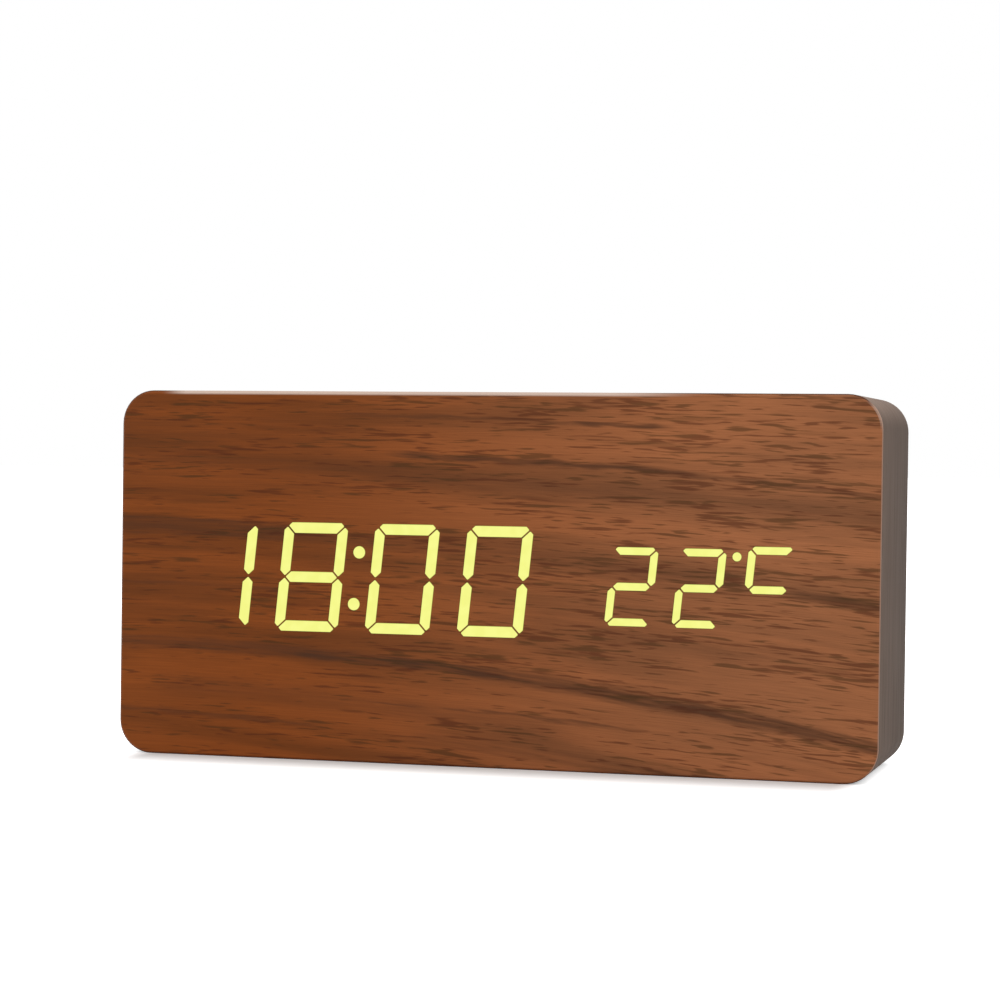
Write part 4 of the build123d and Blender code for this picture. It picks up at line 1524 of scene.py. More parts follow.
@dataclass
class ScrewSet:
    """Pan-head screws with a cross recess and a thread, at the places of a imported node."""

    node: str
    head_height: float
    shank_radius: float
    towards: int
    thread_pitch: float = 0.8
    thread_radius: float = 0.16
    tip: float = 1.2
    run_out: float = 0.5

    def build(self) -> None:
        """Makes the screws."""
        name, boxes = self.node + "_made", solids_of(self.node)
        low, high = boxes[0]
        radius, length = (high.x - low.x) / 2 / MM, (high.y - low.y) / MM
        head, shank, tip = self.head_height, self.shank_radius, self.tip
        seat = length - head
        profile = [(0.0, length)]
        for out, up in arc((0.0, 0.0), 1.0, 90, 0, 6):
            profile.append((radius * (0.55 + 0.45 * out), seat + head * (0.35 + 0.65 * up)))
        profile += [(radius, seat), (shank, seat), (shank, tip), (0.35 * shank, 0.0), (0.0, 0.0)]
        threaded = seat - tip - self.run_out
        made = Trees.grow(
            "recessed", turned(name, profile, 36), Reach=radius * 1.1 * MM,
            Width=0.3 * radius * MM, Depth=0.78 * head * MM, Top=length * MM,
            Shank=shank * 0.97 * MM, Thread=self.thread_radius * MM,
            Turns=threaded / self.thread_pitch, Thread_End=tip * MM,
            Thread_Length=threaded * MM,
        )
        backwards = self.towards < 0
        turn = (math.pi, 0.0, 0.0) if backwards else NO_TURN
        places = [face_middle(box, int(backwards)) for box in boxes]
        add_copies(
            name, made, places, Coat.SCREW, self.node, turns=[turn] * len(places), sharp=SHARP
        )


@dataclass
class CellRow:
    """Four cells, each with its sleeve, its raised cap and its flat end."""

    radius: float = 5.25
    body_length: float = 43.5
    end_round: float = 0.5
    cap_radius: float = 1.9
    cap_height: float = 1.0
    cap_round: float = 0.35
    lip_radius: float = 4.1
    lip_depth: float = 0.22
    lip_width: float = 0.1
    end_gap: float = 0.25
    sharp: float = 50.0

    def build(self) -> None:
        """Makes the sleeves and the metal ends."""
        caps = [middle_of(box) for box in solids_of("cell_caps")]
        places, turns = [], []
        for box in solids_of("battery_cells"):
            middle = middle_of(box)
            cap = min(caps, key=lambda place: abs(place.z - middle.z))
            side = 1 if cap.x > middle.x else -1
            places.append((box[0 if side > 0 else 1].x, middle.y, middle.z))
            turns.append((0.0, 0.0, -side * math.pi / 2))
        for name, profile, steps, coat, nodes in (
            ("cell_sleeves", self.sleeve(), 48, Coat.SLEEVE, ("battery_cells",)),
            ("cell_tips", self.tip(), 40, Coat.NICKEL, ("cell_caps",)),
            ("cell_tails", self.tail(), 40, Coat.NICKEL, ()),
        ):
            pattern = turned(name, profile, steps, self.sharp)
            add_copies(name, pattern, places, coat, *nodes, turns=turns, sharp=self.sharp)

    def sleeve(self) -> Outline:
        """Profile of the sleeve, with a lip curled over each end.

        Returns:
            Points of radius and depth in millimetres.
        """
        length, lip, depth, rim = self.body_length, self.lip_radius, self.lip_depth, self.end_round
        inner, middle = lip - self.lip_width, self.radius - rim
        return [
            (0.0, depth), (inner, depth), (lip, 0), *arc((middle, rim), rim, -90, 0, 5),
            *arc((middle, length - rim), rim, 0, 90, 5), (lip, length),
            (inner, length - depth), (0.0, length - depth),
        ]

    def tip(self) -> Outline:
        """Profile of the positive end: a washer and the raised cap.

        Returns:
            Points of radius and depth in millimetres.
        """
        base = self.body_length - self.lip_depth
        top = self.body_length + self.cap_height
        r, rim, out = self.cap_radius, self.cap_round, self.lip_radius - self.end_gap
        return [
            (0.0, base + 0.01), (out, base + 0.01), (out, base + 0.12), (r + 0.55, base + 0.14),
            (r + 0.2, base + 0.2), (r, base + 0.45), *arc((r - rim, top - rim), rim, 0, 90, 4),
            (0.0, top),
        ]

    def tail(self) -> Outline:
        """Profile of the negative end: a flat disc with a shallow ring pressed into it.

        Returns:
            Points of radius and depth in millimetres.
        """
        d, r = self.lip_depth, self.lip_radius - self.end_gap
        return [
            (0.0, d - 0.01), (r, d - 0.01), (r, d - 0.1), (0.72 * r, d - 0.12),
            (0.66 * r, d - 0.17), (0.5 * r, d - 0.2), (0.0, d - 0.2),
        ]


@dataclass
class RearPanel:
    """Back panel and battery door."""

    edge: float = 0.18
    door_edge: float = 0.14

    def build(self) -> None:
        """Makes the panel and the door."""
        add_softened("rear_cover", "rear_panel", Coat.PANEL, self.edge)
        add_softened(
            "battery_door", "lift_off_door", Coat.PANEL, self.door_edge, "battery_door_body"
        )


@dataclass
class Buttons:
    """Button caps with a dished top."""

    cap_round: float = 0.5
    dish: float = 0.18
    flange_width: float = 1.0
    flange_thickness: float = 0.8
    flange_edge: float = 0.1
    stem_radius: float = 1.5
    proud: float = 3.3
    lip_width: float = 0.3
    lip_drop: float = 0.03

    def build(self) -> None:
        """Makes one cap for each button."""
        for node in ("set_button", "up_button", "down_button"):
            low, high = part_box(node)
            middle = middle_of((low, high))
            flange, top = (high.x - low.x) / 2 / MM, high.y / MM
            cap, shoulder = flange - self.flange_width, top - self.proud
            under, edge = shoulder - self.flange_thickness, self.flange_edge
            rim, dish, end = self.cap_round, self.dish, low.y / MM
            profile = [
                (0.0, end), (self.stem_radius, end), (self.stem_radius, under),
                (flange - edge, under), (flange, under + edge), (flange, shoulder - edge),
                (flange - edge, shoulder), (cap, shoulder),
                *arc((cap - rim, top - rim), rim, 0, 90, 6),
                (cap - rim - self.lip_width, top - self.lip_drop), (0.5 * cap, top - 0.7 * dish),
                (0.25 * cap, top - 0.95 * dish), (0.0, top - dish),
            ]
            name = node + "_cap"
            mesh = moved(turned(name, profile, 56, 35), middle.x, 0.0, middle.z)
            add_piece(name, mesh, Coat.BUTTON, node + "_body", node)


@dataclass
class Marks:
    """Raised signs and rims on the panel, in the compartment and on the door."""

    height: float = 0.14
    sink: float = 0.05
    above_button: float = 5.6
    sign_size: float = 1.5
    sign_edge: float = 0.06
    arrow_inset: float = 3.0
    arrow_reach: float = 0.9
    arrow_rise: float = 1.3
    button_flange: float = 1.0
    rim_gap: float = 0.5
    rim_width: float = 0.45
    inlet_radius: float = 1.7
    polarity_size: float = 1.1
    polarity_bar: float = 0.34
    polarity_edge: float = 0.03
    ledge_middle: float = 0.78
    ledge_depth: float = 1.9

    @property
    def panel_back(self) -> float:
        """Depth of the panel's back in millimetres."""
        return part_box("rear_cover")[1].y / MM

    def build(self) -> None:
        """Makes the signs and the rims."""
        size = self.sign_size
        ring = [(0.55 * size * x, 0.55 * size * z) for x, z in arc((0.0, 0.0), 1.0, 0, 345, 23)]
        signs = {
            "up_button": self.triangle(1), "down_button": self.triangle(-1), "set_button": ring,
        }
        for node, outline in signs.items():
            middle = middle_of(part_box(node))
            x, z = middle.x / MM, middle.z / MM + self.above_button
            shifted = [(x + dx, z + dz) for dx, dz in outline]
            self.add_sign(node.replace("button", "sign"), shifted, Coat.SIGN, CASE)
        low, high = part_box("battery_door")
        x, z = low.x / MM + self.arrow_inset, (low.z + high.z) / 2 / MM
        reach, rise = self.arrow_reach, self.arrow_rise
        arrow = [(x + reach, z - rise), (x + reach, z + rise), (x - reach, z)]
        self.add_sign("door_arrow", arrow, Coat.BUTTON, "battery_door_body")
        self.add_rims(list(signs))
        self.add_polarity()

    def triangle(self, way: int) -> Outline:
        """Outline of a triangle that points up or down."""
        size = self.sign_size
        return [(-size, -0.8 * way * size), (size, -0.8 * way * size), (0.0, 0.9 * way * size)]

    def add_sign(self, name: str, outline: Outline, coat: Coat, body: str) -> None:
        """Adds one raised sign.

        Args:
            name: Name of the piece.
            outline: Its outline in X and Z in millimetres.
            coat: Its finish.
            body: The body it rides on.
        """
        front, back = self.panel_back - self.sink, self.panel_back + self.height
        add_piece(name, softened(prism(name, outline, front, back), self.sign_edge), coat, body)

    def add_rims(self, buttons: list[str]) -> None:
        """Adds a low rim round each button and round the mouth of the power inlet.

        Args:
            buttons: Nodes of the buttons.
        """
        back, gap = self.panel_back * MM, 2 * self.rim_gap * MM
        low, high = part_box(buttons[0])
        side = (high.x - low.x) - 2 * self.button_flange * MM + gap
        middles = [middle_of(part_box(node)) for node in buttons]
        ring = self.framed_rim("button_rims", side, side, side / 2, 18)
        add_copies(
            "button_rims", ring, [(middle.x, back, middle.z) for middle in middles],
            Coat.PANEL, sharp=SHARP,
        )
        low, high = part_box("power_inlet_shell")
        middle = middle_of((low, high))
        mesh = self.framed_rim(
            "inlet_rim", high.x - low.x + gap, high.z - low.z + gap, self.inlet_radius * MM, 8
        )
        add_piece("inlet_rim", moved(mesh, middle.x, back, middle.z), Coat.PANEL, CASE)

    def framed_rim(
        self, name: str, width: float, height: float, radius: float, steps: int
    ) -> Mesh:
        """Runs the rim's rounded section round a rounded rectangle about the origin.

        Args:
            name: Name of the mesh.
            width: Width inside the rim in metres.
            height: Height inside the rim in metres.
            radius: Radius of its corners in metres.
            steps: Segments of each corner.

        Returns:
            The mesh.
        """
        w, h = self.rim_width, self.height
        section = [
            (0.0, -self.sink), (w, -self.sink), (w, 0.3 * h), (0.72 * w, 0.85 * h),
            (0.5 * w, h), (0.28 * w, 0.85 * h), (0.0, 0.3 * h),
        ]
        return settled(Trees.grow(
            "framed", outline_mesh(name, section, True), Width=width, Height=height,
            Corner_Radius=radius * 0.999, Corner_Steps=steps, Material=Coat.PANEL.material(),
        ))

    def add_polarity(self) -> None:
        """Adds a plus and a minus beside each cell on the ledge under the door."""
        s, b = self.polarity_size / 2, self.polarity_bar / 2
        plus = [
            (-s, -b), (-b, -b), (-b, -s), (b, -s), (b, -b), (s, -b),
            (s, b), (b, b), (b, s), (-b, s), (-b, b), (-s, b),
        ]
        low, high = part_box("battery_door")
        ledge = (self.panel_back - self.ledge_depth) * MM
        ends = (low.x + self.ledge_middle * MM, high.x - self.ledge_middle * MM)
        near_spots, far_spots = [], []
        for cap in (middle_of(box) for box in solids_of("cell_caps")):
            near, far = sorted(ends, key=lambda x: abs(x - cap.x))
            near_spots.append((near, ledge, cap.z))
            far_spots.append((far, ledge, cap.z))
        for name, outline, spots in (
            ("plus_marks", plus, near_spots), ("minus_marks", oblong(s, b), far_spots),
        ):
            mark = softened(prism(name, outline, -self.sink, self.height), self.polarity_edge)
            add_copies(name, mark, spots, Coat.BUTTON)


@dataclass
class DisplayFittings:
    """Lenses, display blocks and light sources, and the solder round their pins."""

    lens_edge: float = 0.06
    block_edge: float = 0.2
    chip_edge: float = 0.09
    pin_edge: float = 0.06
    foot_radius: float = 0.82
    foot_depth: float = 0.05
    neck_radius: float = 0.4
    height: float = 0.75

    def build(self) -> None:
        """Makes the pieces of both displays."""
        for node, coat, width in (
            ("time_lit_segments", Coat.LIT, self.lens_edge),
            ("colon_dots", Coat.LIT, self.lens_edge),
            ("temperature_lit_segments", Coat.LIT, self.lens_edge),
            ("degree_dot", Coat.LIT, self.lens_edge),
            ("time_unlit_segments", Coat.DARK, self.lens_edge),
            ("temperature_unlit_segments", Coat.DARK, self.lens_edge),
            ("time_display_block", Coat.DISPLAY, self.block_edge),
            ("temperature_display_block", Coat.DISPLAY, self.block_edge),
            ("light_chips", Coat.CHIP, self.chip_edge),
            ("display_pins", Coat.TINNED, self.pin_edge),
        ):
            add_softened(node, node + "_eased", coat, width, steps=1)
        self.add_solder()

    def add_solder(self) -> None:
        """Adds a cone of solder where each pin comes through the board."""
        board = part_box("main_board")[1].y
        middles = [middle_of(box) for box in solids_of("display_pins")]
        foot, neck, top, under = self.foot_radius, self.neck_radius, self.height, -self.foot_depth
        profile = [
            (0.0, under), (foot, under), (foot, 0.03), (0.72 * foot, 0.14), (0.56 * foot, 0.32),
            (1.1 * neck, 0.8 * top), (0.8 * neck, top), (0.0, top + 0.06),
        ]
        add_copies(
            "pin_solder", turned("pin_solder", profile, 14),
            [(middle.x, board, middle.z) for middle in middles], Coat.TINNED,
        )


@dataclass
class BoardParts:
    """Boards, chips, sockets and the small parts on the boards."""

    broken: tuple = (
        ("main_board", Coat.LACQUER, 0.1), ("rear_board", Coat.LACQUER, 0.1),
        ("board_spacers", Coat.SPACER, 0.15), ("resistors", Coat.PACKAGE, 0.06),
        ("temperature_sensor", Coat.PACKAGE, 0.4), ("power_inlet_shell", Coat.NICKEL, 0.07),
        ("power_inlet_tongue", Coat.PANEL, 0.06), ("flat_contacts", Coat.NICKEL, 0.08),
        ("spring_contacts", Coat.NICKEL, 0.08), ("set_plunger", Coat.PLUNGER, 0.2),
        ("up_plunger", Coat.PLUNGER, 0.2), ("down_plunger", Coat.PLUNGER, 0.2),
        ("controller_legs", Coat.TINNED, 0.05), ("driver_legs", Coat.TINNED, 0.05),
        ("switch_bodies", Coat.SWITCH, 0.25), ("temperature_sensor_legs", Coat.TINNED, 0.05),
    )
    cut_sharp: float = 25.0
    chip_edge: float = 0.16
    dimple_radius: float = 0.45
    dimple_depth: float = 0.15
    dimple_inset: float = 1.2
    socket_edge: float = 0.25
    slot_count: int = 7
    slot_pitch: float = 1.5
    slot_shift: float = 1.5
    slot_size: tuple = (0.7, 1.6, 0.7)
    key_reach: float = 3.5
    key_size: tuple = (0.9, 1.8, 2.2)

    def build(self) -> None:
        """Makes every part."""
        for node, coat, width in self.broken:
            body = node.replace("plunger", "button_body") if "plunger" in node else CASE
            add_softened(node, node + "_finished", coat, width, body)
        for node in ("controller_chip", "driver_chip"):
            self.make_chip(node)
        for node in ("main_cable_socket", "rear_cable_socket"):
            self.make_socket(node)
        self.make_resistor_ends()
        self.make_capacitors()
        self.make_buzzer()
        self.make_crystal()
        self.make_microphone()
        self.make_switch_plates()
        self.make_inlet_contacts()

    def make_chip(self, node: str) -> None:
        """Makes a chip with a dimple that marks its first leg.

        Args:
            node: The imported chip.
        """
        low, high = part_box(node)
        name, depth, radius = node + "_marked", self.dimple_depth, self.dimple_radius
        chip = softened(mesh_of(merged(node), name), self.chip_edge)
        profile = [(0.0, -depth), (0.8 * radius, -depth), (radius, 0.0), (radius, 1.0), (0.0, 1.0)]
        across = low.z + 0.24 * (high.z - low.z)
        dimple = moved(
            turned("dimple", profile, 20), low.x + self.dimple_inset * MM, high.y, across
        )
        mesh = settled(carved(chip, dimple, Coat.PACKAGE), self.cut_sharp)
        add_piece(name, mesh, Coat.PACKAGE, CASE, node)

    def make_socket(self, node: str) -> None:
        """Makes a cable socket with a row of contact holes and two key slots.

        Args:
            node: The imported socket.
        """
        low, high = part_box(node)
        middle = middle_of((low, high))
        mouth = high.y if node.startswith("main") else low.y
        name, last = node + "_cut", self.slot_count - 1
        slots = [
            ((middle.x + self.slot_shift * MM, mouth,
              middle.z + (index - last / 2) * self.slot_pitch * MM), self.slot_size)
            for index in range(self.slot_count)
        ]
        slots += [
            ((low.x, middle.y, middle.z + side * self.key_reach * MM), self.key_size)
            for side in (-1, 1)
        ]
        cutter = bmesh.new()
        for place, size in slots:
            sides = [side * MM for side in size]
            matrix = Matrix.Translation(place) @ Matrix.Diagonal((*sides, 1.0))
            bmesh.ops.create_cube(cutter, size=1.0, matrix=matrix)
        shell = softened(mesh_of(merged(node), name), self.socket_edge)
        mesh = carved(shell, mesh_of(cutter, node + "_slots"), Coat.SOCKET)
        add_piece(name, settled(mesh, self.cut_sharp), Coat.SOCKET, CASE, node)

    def make_resistor_ends(
        self, length: float = 0.4, wrap: float = 0.06, edge: float = 0.06, inset: float = 0.17
    ) -> None:
        """Makes the tinned ends that wrap each small resistor.

        Args:
            length: Length of an end in millimetres.
            wrap: How much thicker than the resistor it is.
            edge: Width of its broken edges.
            inset: Distance of its middle from the resistor's end.
        """
        boxes = solids_of("resistors")
        size = boxes[0][1] - boxes[0][0]
        places = []
        for low, high in boxes:
            middle = middle_of((low, high))
            ends = (low.z + inset * MM, high.z - inset * MM)
            places += [(middle.x, middle.y, z) for z in ends]
        sides = (size.x / MM + wrap, size.y / MM + wrap, length)
        self.add_blocks("resistor_ends", sides, edge, places, Coat.TINNED)

    @staticmethod
    def add_blocks(name: str, size: tuple, edge: float, places: list, coat: Coat) -> None:
        """Adds blocks with broken edges at places.

        Args:
            name: Name of the piece.
            size: Sides of a block in millimetres.
            edge: Width of its broken edges in millimetres.
            places: Middles of the blocks.
            coat: Their finish.
        """
        outline = oblong(size[0] / 2, size[2] / 2)
        block = softened(prism(name, outline, -size[1] / 2, size[1] / 2), edge)
        add_copies(name, block, places, coat)

    def make_capacitors(self, radius: float = 3.15, foot: float = 1.2, cut: float = 0.9) -> None:
        """Makes the drawn cans, with a groove above their square feet.

        Args:
            radius: Radius of a can in millimetres.
            foot: Height of a foot.
            cut: How far two of its corners are cut off.
        """
        boxes = solids_of("capacitors")
        places = [face_middle(box, 0) for box in boxes]
        size = boxes[0][1] - boxes[0][0]
        height, h = size.y / MM, size.x / MM / 2
        profile = [
            (0.0, foot), (radius - 0.15, foot), (radius - 0.02, foot + 0.12),
            (radius - 0.02, foot + 0.5), (radius - 0.3, foot + 0.75), (radius, foot + 1.0),
            *arc((radius - 0.35, height - 0.35), 0.35, 0, 90, 5),
            (radius - 0.62, height - 0.1), (0.0, height - 0.1),
        ]
        cans = turned("capacitor_cans", profile, 44)
        add_copies("capacitor_cans", cans, places, Coat.CAN, "capacitors")
        outline = [(-h, -h), (h, -h), (h, h - cut), (h - cut, h), (-h + cut, h), (-h, h - cut)]
        feet = softened(prism("capacitor_feet", outline, 0.0, foot + 0.05), 0.12)
        add_copies("capacitor_feet", feet, places, Coat.SWITCH)

    def make_buzzer(self, hole: float = 1.0, depth: float = 1.5, rim: float = 0.7) -> None:
        """Makes the round sounder with a stepped rim and its sound hole.

        Args:
            hole: Radius of the hole in millimetres.
            depth: Depth of the hole.
            rim: Radius of the rounded rim.
        """
        radius, height = self.round_size("buzzer")
        profile = [
            (0.0, 0.0), (radius - 0.3, 0.0), (radius - 0.3, 0.5), (radius, 0.7),
            *arc((radius - rim, height - rim), rim, 0, 90, 6), (2.6, height),
            (2.4, height - 0.2), (hole + 0.15, height - 0.2), (hole, height - 0.35),
            (hole, height - depth), (0.0, height - depth),
        ]
        self.add_round("buzzer", "round_sounder", profile, 60, Coat.PACKAGE)

    def make_microphone(self, mouth: float = 0.85, rim: float = 0.3) -> None:
        """Makes the microphone's can with a crimped rim and a round mouth.

        Args:
            mouth: Radius of the mouth in millimetres.
            rim: Radius of the rounded rim.
        """
        radius, height = self.round_size("microphone")
        profile = [
            (0.0, 0.0), (radius - 0.35, 0.0), (radius - 0.3, 0.35), (radius, 0.5),
            *arc((radius - rim, height - rim), rim, 0, 90, 5), (mouth + 0.1, height),
            (mouth, height - 0.1), (mouth, height - 0.5), (0.0, height - 0.5),
        ]
        self.add_round("microphone", "crimped_can", profile, 44, Coat.CAN)

    @staticmethod
    def round_size(node: str) -> tuple[float, float]:
        """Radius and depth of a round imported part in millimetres."""
        low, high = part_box(node)
        return (high.x - low.x) / 2 / MM, (high.y - low.y) / MM

    @staticmethod
    def add_round(node: str, name: str, profile: Outline, steps: int, coat: Coat) -> None:
        """Adds a turned part that stands where a packed one does.

        Args:
            node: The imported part.
            name: Name of the piece.
            profile: Its profile.
            steps: Number of sides.
            coat: Its finish.
        """
        mesh = moved(turned(name, profile, steps), *face_middle(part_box(node), 0))
        add_piece(name, mesh, coat, CASE, node)

    def make_crystal(self, wire: float = 0.14, spread: float = 0.35) -> None:
        """Makes the small can that lies on the board, and its two wires.

        Args:
            wire: Radius of a wire in millimetres.
            spread: Its distance from the can's axis.
        """
        low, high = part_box("crystal")
        middle = middle_of((low, high))
        radius, length = (high.z - low.z) / 2 / MM, (high.x - low.x) / MM
        profile = [
            (0.0, 0.08), (radius - 0.2, 0.08), (radius - 0.12, 0.0), (radius, 0.05),
            (radius, 0.4), (radius - 0.06, 0.5),
            *arc((radius - 0.4, length - 0.4), 0.4, 0, 90, 5), (0.0, length),
        ]
        mesh = turned("timing_can", profile, 32)
        mesh.transform(
            Matrix.Translation((low.x, middle.y, middle.z))
            @ Matrix.Rotation(-math.pi / 2, 4, "Z")
        )
        add_piece("timing_can", settled(mesh), Coat.CAN, CASE, "crystal")
        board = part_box("main_board")[1].y
        runs = [
            [
                (low.x + 0.1 * MM, middle.y, z), (low.x - 0.7 * MM, middle.y, z),
                (low.x - 1.5 * MM, board, z),
            ]
            for z in (middle.z - spread * MM, middle.z + spread * MM)
        ]
        add_wires("timing_wires", runs, wire, 0.4, Coat.TINNED)

    def make_switch_plates(self, inset: float = 0.15, corner: float = 2.2) -> None:
        """Makes the metal plates on the switches, each with four rivets and a round hole.

        Args:
            inset: How far a plate stays inside its switch in millimetres.
            corner: Distance of a rivet from the plate's middle along each side.
        """
        boxes = solids_of("switch_bodies")
        size = boxes[0][1] - boxes[0][0]
        places = [face_middle(box, 1) for box in boxes]
        side = size.x / MM / 2 - inset
        plate = softened(prism("switch_plates", oblong(side, side), -0.1, 0.12), 0.08)
        hole = turned("plate_hole", [(0.0, -1.0), (2.0, -1.0), (2.0, 1.0), (0.0, 1.0)], 36)
        plate = settled(carved(plate, hole, Coat.NICKEL))
        add_copies("switch_plates", plate, places, Coat.NICKEL)
        spots = [
            (x + i * corner * MM, y + 0.1 * MM, z + k * corner * MM)
            for x, y, z in places for i in (-1, 1) for k in (-1, 1)
        ]
        profile = [(0.0, -0.1), (0.34, -0.1), (0.34, 0.05), (0.26, 0.13), (0.12, 0.17), (0.0, 0.18)]
        rivet = turned("switch_rivets", profile, 12)
        add_copies("switch_rivets", rivet, spots, Coat.SWITCH)

    def make_inlet_contacts(self, count: int = 5, pitch: float = 0.82) -> None:
        """Makes the contact strips on the inlet's tongue.

        Args:
            count: Number of strips.
            pitch: Distance from strip to strip in millimetres.
        """
        low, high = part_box("power_inlet_tongue")
        middle = middle_of((low, high))
        places = [
            (middle.x + (index - count // 2) * pitch * MM, high.y - 1.2 * MM,
             middle.z + 0.36 * MM)
            for index in range(count)
        ]
        self.add_blocks("inlet_contacts", (0.4, 2.2, 0.09), 0.03, places, Coat.NICKEL)


def add_wires(
    name: str, runs: list, radius: float, bend: float, coat: Coat, *nodes: str
) -> None:
    """Adds round wires along runs of points.

    Args:
        name: Name of the piece.
        runs: The points of each wire in metres.
        radius: Radius of a wire in millimetres.
        bend: Radius of its bends in millimetres.
        coat: Its finish.
        *nodes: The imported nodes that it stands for.
    """
    mesh = laid(name, runs, arc((0.0, 0.0), radius, 0, 337.5, 15), bend, coat)
    add_piece(name, settled(mesh, 50), coat, CASE, *nodes)


@dataclass
class Wiring:
    """Flat cable between the two boards and the two leads of the compartment."""

    conductors: int = 7
    ridge_steps: int = 6
    ribbon_thickness: float = 0.9
    ribbon_bend: float = 1.6
    lead_radius: float = 0.6
    lead_bend: float = 3.0

    def build(self) -> None:
        """Makes the cable and the leads."""
        self.make_ribbon()
        for node, coat in (
            ("battery_lead_negative", Coat.LEAD_BLACK), ("battery_lead_positive", Coat.LEAD_RED),
        ):
            low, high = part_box(node)
            middle, r = middle_of((low, high)), self.lead_radius * MM
            straight = (high.y - low.y) / 4
            run = [
                (high.x - r, high.y, middle.z), (high.x - r, high.y - straight, middle.z),
                (low.x + r, low.y + straight, middle.z), (low.x + r, low.y, middle.z),
            ]
            add_wires(node + "_wire", [run], self.lead_radius, self.lead_bend, coat, node)

    def make_ribbon(self) -> None:
        """Makes the flat cable with a ridge over each conductor."""
        low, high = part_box("ribbon_cable")
        width, steps = (high.z - low.z) / MM, self.ridge_steps
        pitch = width / self.conductors
        right = []
        for index in range(self.conductors):
            for share in range(steps):
                across = -width / 2 + pitch * (index + (share + 0.5) / steps)
                ridge = math.sin(math.pi * (share + 0.5) / steps)
                right.append((self.ribbon_thickness / 2 * (0.6 + 0.4 * ridge), across))
        section = right + [(-out, across) for out, across in right[::-1]]
        half, middle = self.ribbon_thickness / 2 * MM, middle_of((low, high))
        run = [
            (high.x - half, low.y, middle.z), (high.x - half, middle.y, middle.z),
            (low.x + half, middle.y, middle.z), (low.x + half, high.y, middle.z),
        ]
        mesh = laid("flat_cable", [run], section, self.ribbon_bend, Coat.RIBBON)
        add_piece("flat_cable", settled(mesh, 60), Coat.RIBBON, CASE, "ribbon_cable")


# Light, floor and camera


def seen_by(graph: Graph, *kinds: str) -> Value:
    """One for the named kinds of ray and nothing for all others."""
    rays = graph.add("LightPath")
    return graph.most([rays[f"Is {kind} Ray"] for kind in kinds])


@dataclass
class Viewpoint:
    """Camera that stands where the photograph's camera stood."""

    azimuth: float = 15.8
    elevation: float = 0.8
    roll: float = 0.733
    focal_pixels: float = 2636.0
    distance: float = 0.5191
    centre_right: float = 512.1
    centre_down: float = 576.45
    image_side: float = 1000.0
    sensor: float = 36.0

    def build(self) -> None:
        """Makes the camera and gives it to the scene."""
        a, e, r = (math.radians(v) for v in (self.azimuth, self.elevation, self.roll))
        back = Vector((math.sin(a) * math.cos(e), -math.cos(a) * math.cos(e), math.sin(e)))
        right = (-back).cross(Vector((0, 0, 1))).normalized()
        up = right.cross(-back)
        rolled_right = right * math.cos(r) + up * math.sin(r)
        rolled_up = up * math.cos(r) - right * math.sin(r)
        half = self.image_side / 2
        aside = (self.centre_right - half) / self.focal_pixels * self.distance
        below = (self.centre_down - half) / self.focal_pixels * self.distance
        middle = middle_of(CAD_BOX)
        eye = middle - aside * rolled_right + below * rolled_up + self.distance * back
        data = bpy.data.cameras.new("viewpoint")
        data.sensor_width = self.sensor
        data.lens = self.focal_pixels / self.image_side * self.sensor
        data.clip_start, data.clip_end = 0.01, 50.0
        camera = placed("viewpoint", data)
        turn = Matrix((rolled_right, rolled_up, back)).transposed().to_4x4()
        camera.matrix_world = Matrix.Translation(eye) @ turn
        bpy.context.scene.camera = camera


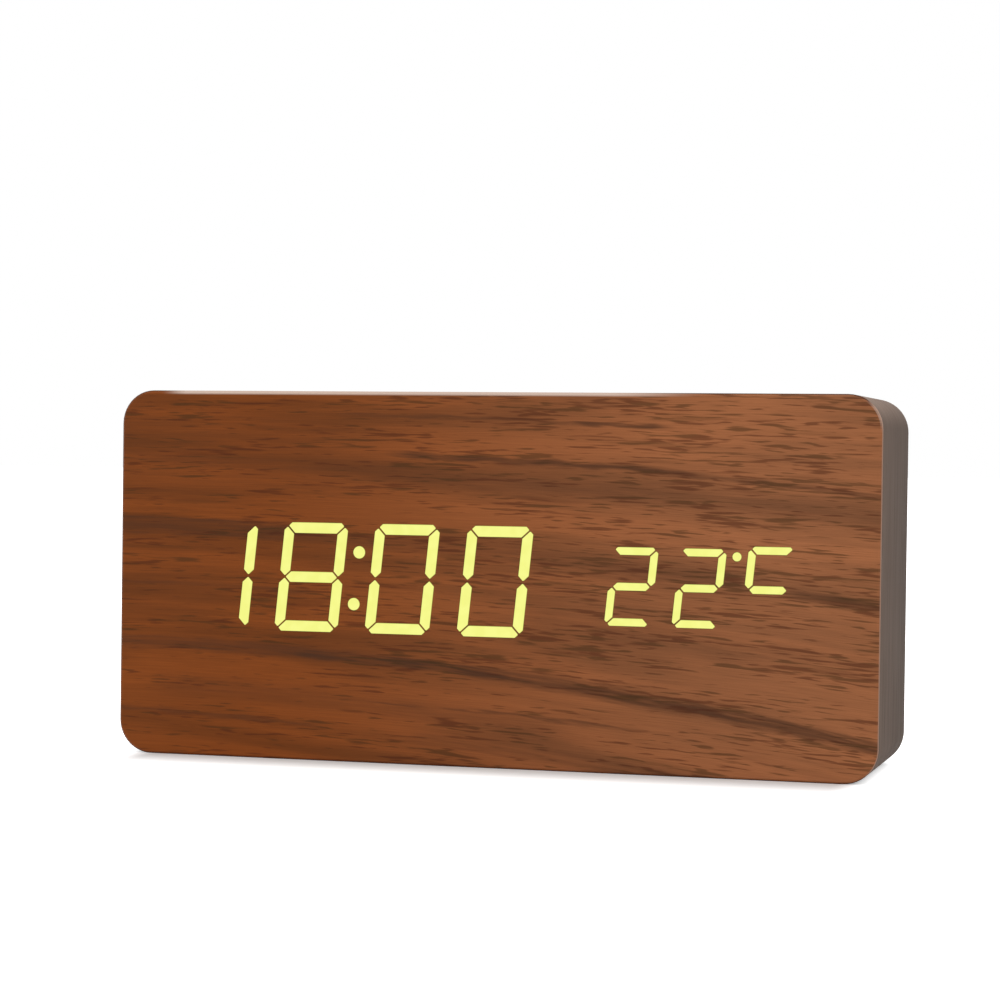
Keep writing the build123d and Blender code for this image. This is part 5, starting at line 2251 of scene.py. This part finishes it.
@dataclass
class Studio:
    """White floor and soft light from all round."""

    floor_side: float = 30.0
    floor_colour: Colour = (0.86, 0.86, 0.86, 1.0)
    air_colour: Colour = (1.0, 1.0, 1.0, 1.0)
    surround: float = 0.62
    key_power: float = 5.8
    fill_power: float = 2.6
    top_power: float = 4.0
    shadow_reach: float = 0.027
    side_inset: float = 0.008

    def build(self) -> None:
        """Makes the floor, the surroundings and the lamps."""
        self.make_floor()
        self.make_surround()
        for name, place, power, side in (
            ("key_light", (0.75, -1.25, 1.1), self.key_power, 1.1),
            ("fill_light", (-1.2, -0.7, 0.8), self.fill_power, 1.2),
            ("back_light", (0.3, 1.4, 0.9), self.fill_power, 1.2),
            ("top_light", (0.1, 0.1, 1.5), self.top_power, 0.8),
        ):
            data = bpy.data.lights.new(name, "AREA")
            data.energy, data.size = power, side
            lamp = placed(name, data)
            lamp.location = place
            aim = Vector(place) - Vector((0, 0, middle_of(CAD_BOX).z))
            lamp.rotation_euler = aim.to_track_quat("Z", "Y").to_euler()
        bpy.context.scene.view_settings.view_transform = "Standard"

    def make_floor(self) -> None:
        """Makes the floor, which the camera sees as white wherever no shadow falls."""
        half = self.floor_side / 2
        corners = [(x, y, 0) for x, y in oblong(half, half)]
        mesh = plain_mesh("studio_floor", corners, faces=((0, 1, 2, 3),))
        floor = placed("studio_floor", mesh)
        material = bpy.data.materials.new("studio_white")
        graph = Graph(cleared(material))
        high, reach = CAD_BOX[1], self.shadow_reach
        x, y, _ = graph.axes(graph.add("TexCoord")["Object"])
        past_side = graph.most([abs(x) - (high.x - self.side_inset), 0.0])
        past_side = past_side * (reach / self.side_inset)
        past_back = graph.most([abs(y) - high.y, 0.0])
        away = graph.math("SQRT", past_side * past_side + past_back * past_back)
        shine = seen_by(graph, "Camera", "Glossy") * away.smooth(0.0, reach)
        paper = graph.add("BsdfDiffuse", Color=self.floor_colour)
        lift = graph.add("Emission", Strength=shine)
        both = graph.add("AddShader", None, paper[0], lift[0])
        graph.add("OutputMaterial", None, both[0])
        mesh.materials.append(material)
        floor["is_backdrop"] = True

    def make_surround(self) -> None:
        """Makes the world: white to the camera, in mirrors and through glass, softer as light."""
        world = bpy.data.worlds.new("studio_air")
        bpy.context.scene.world = world
        graph = Graph(cleared(world))
        seen = seen_by(graph, "Camera", "Glossy", "Transmission")
        strength = seen.smooth(0.0, 1.0, self.surround, 1.0)
        air = graph.add("Background", Color=self.air_colour, Strength=strength)
        graph.add("OutputWorld", None, air[0])


def main() -> None:
    """Builds the looks in order and reports each piece of them."""
    logging.basicConfig(level=logging.INFO, format="%(name)s: %(message)s")
    for part in (
        Casing(), RearPanel(), ScrewSet("cover_screws", 1.4, 1.3, 1),
        ScrewSet("board_screws", 1.2, 1.25, 1), ScrewSet("rear_board_screws", 1.0, 1.0, -1, 0.6),
        CellRow(), Buttons(), Marks(), DisplayFittings(), BoardParts(), Wiring(), Studio(),
        Viewpoint(),
    ):
        part.build()
    low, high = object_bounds()
    boxes = {
        "cad": [list(CAD_BOX[0]), list(CAD_BOX[1])], "visual": [list(low), list(high)],
    }


if __name__ == "__main__":
    main()
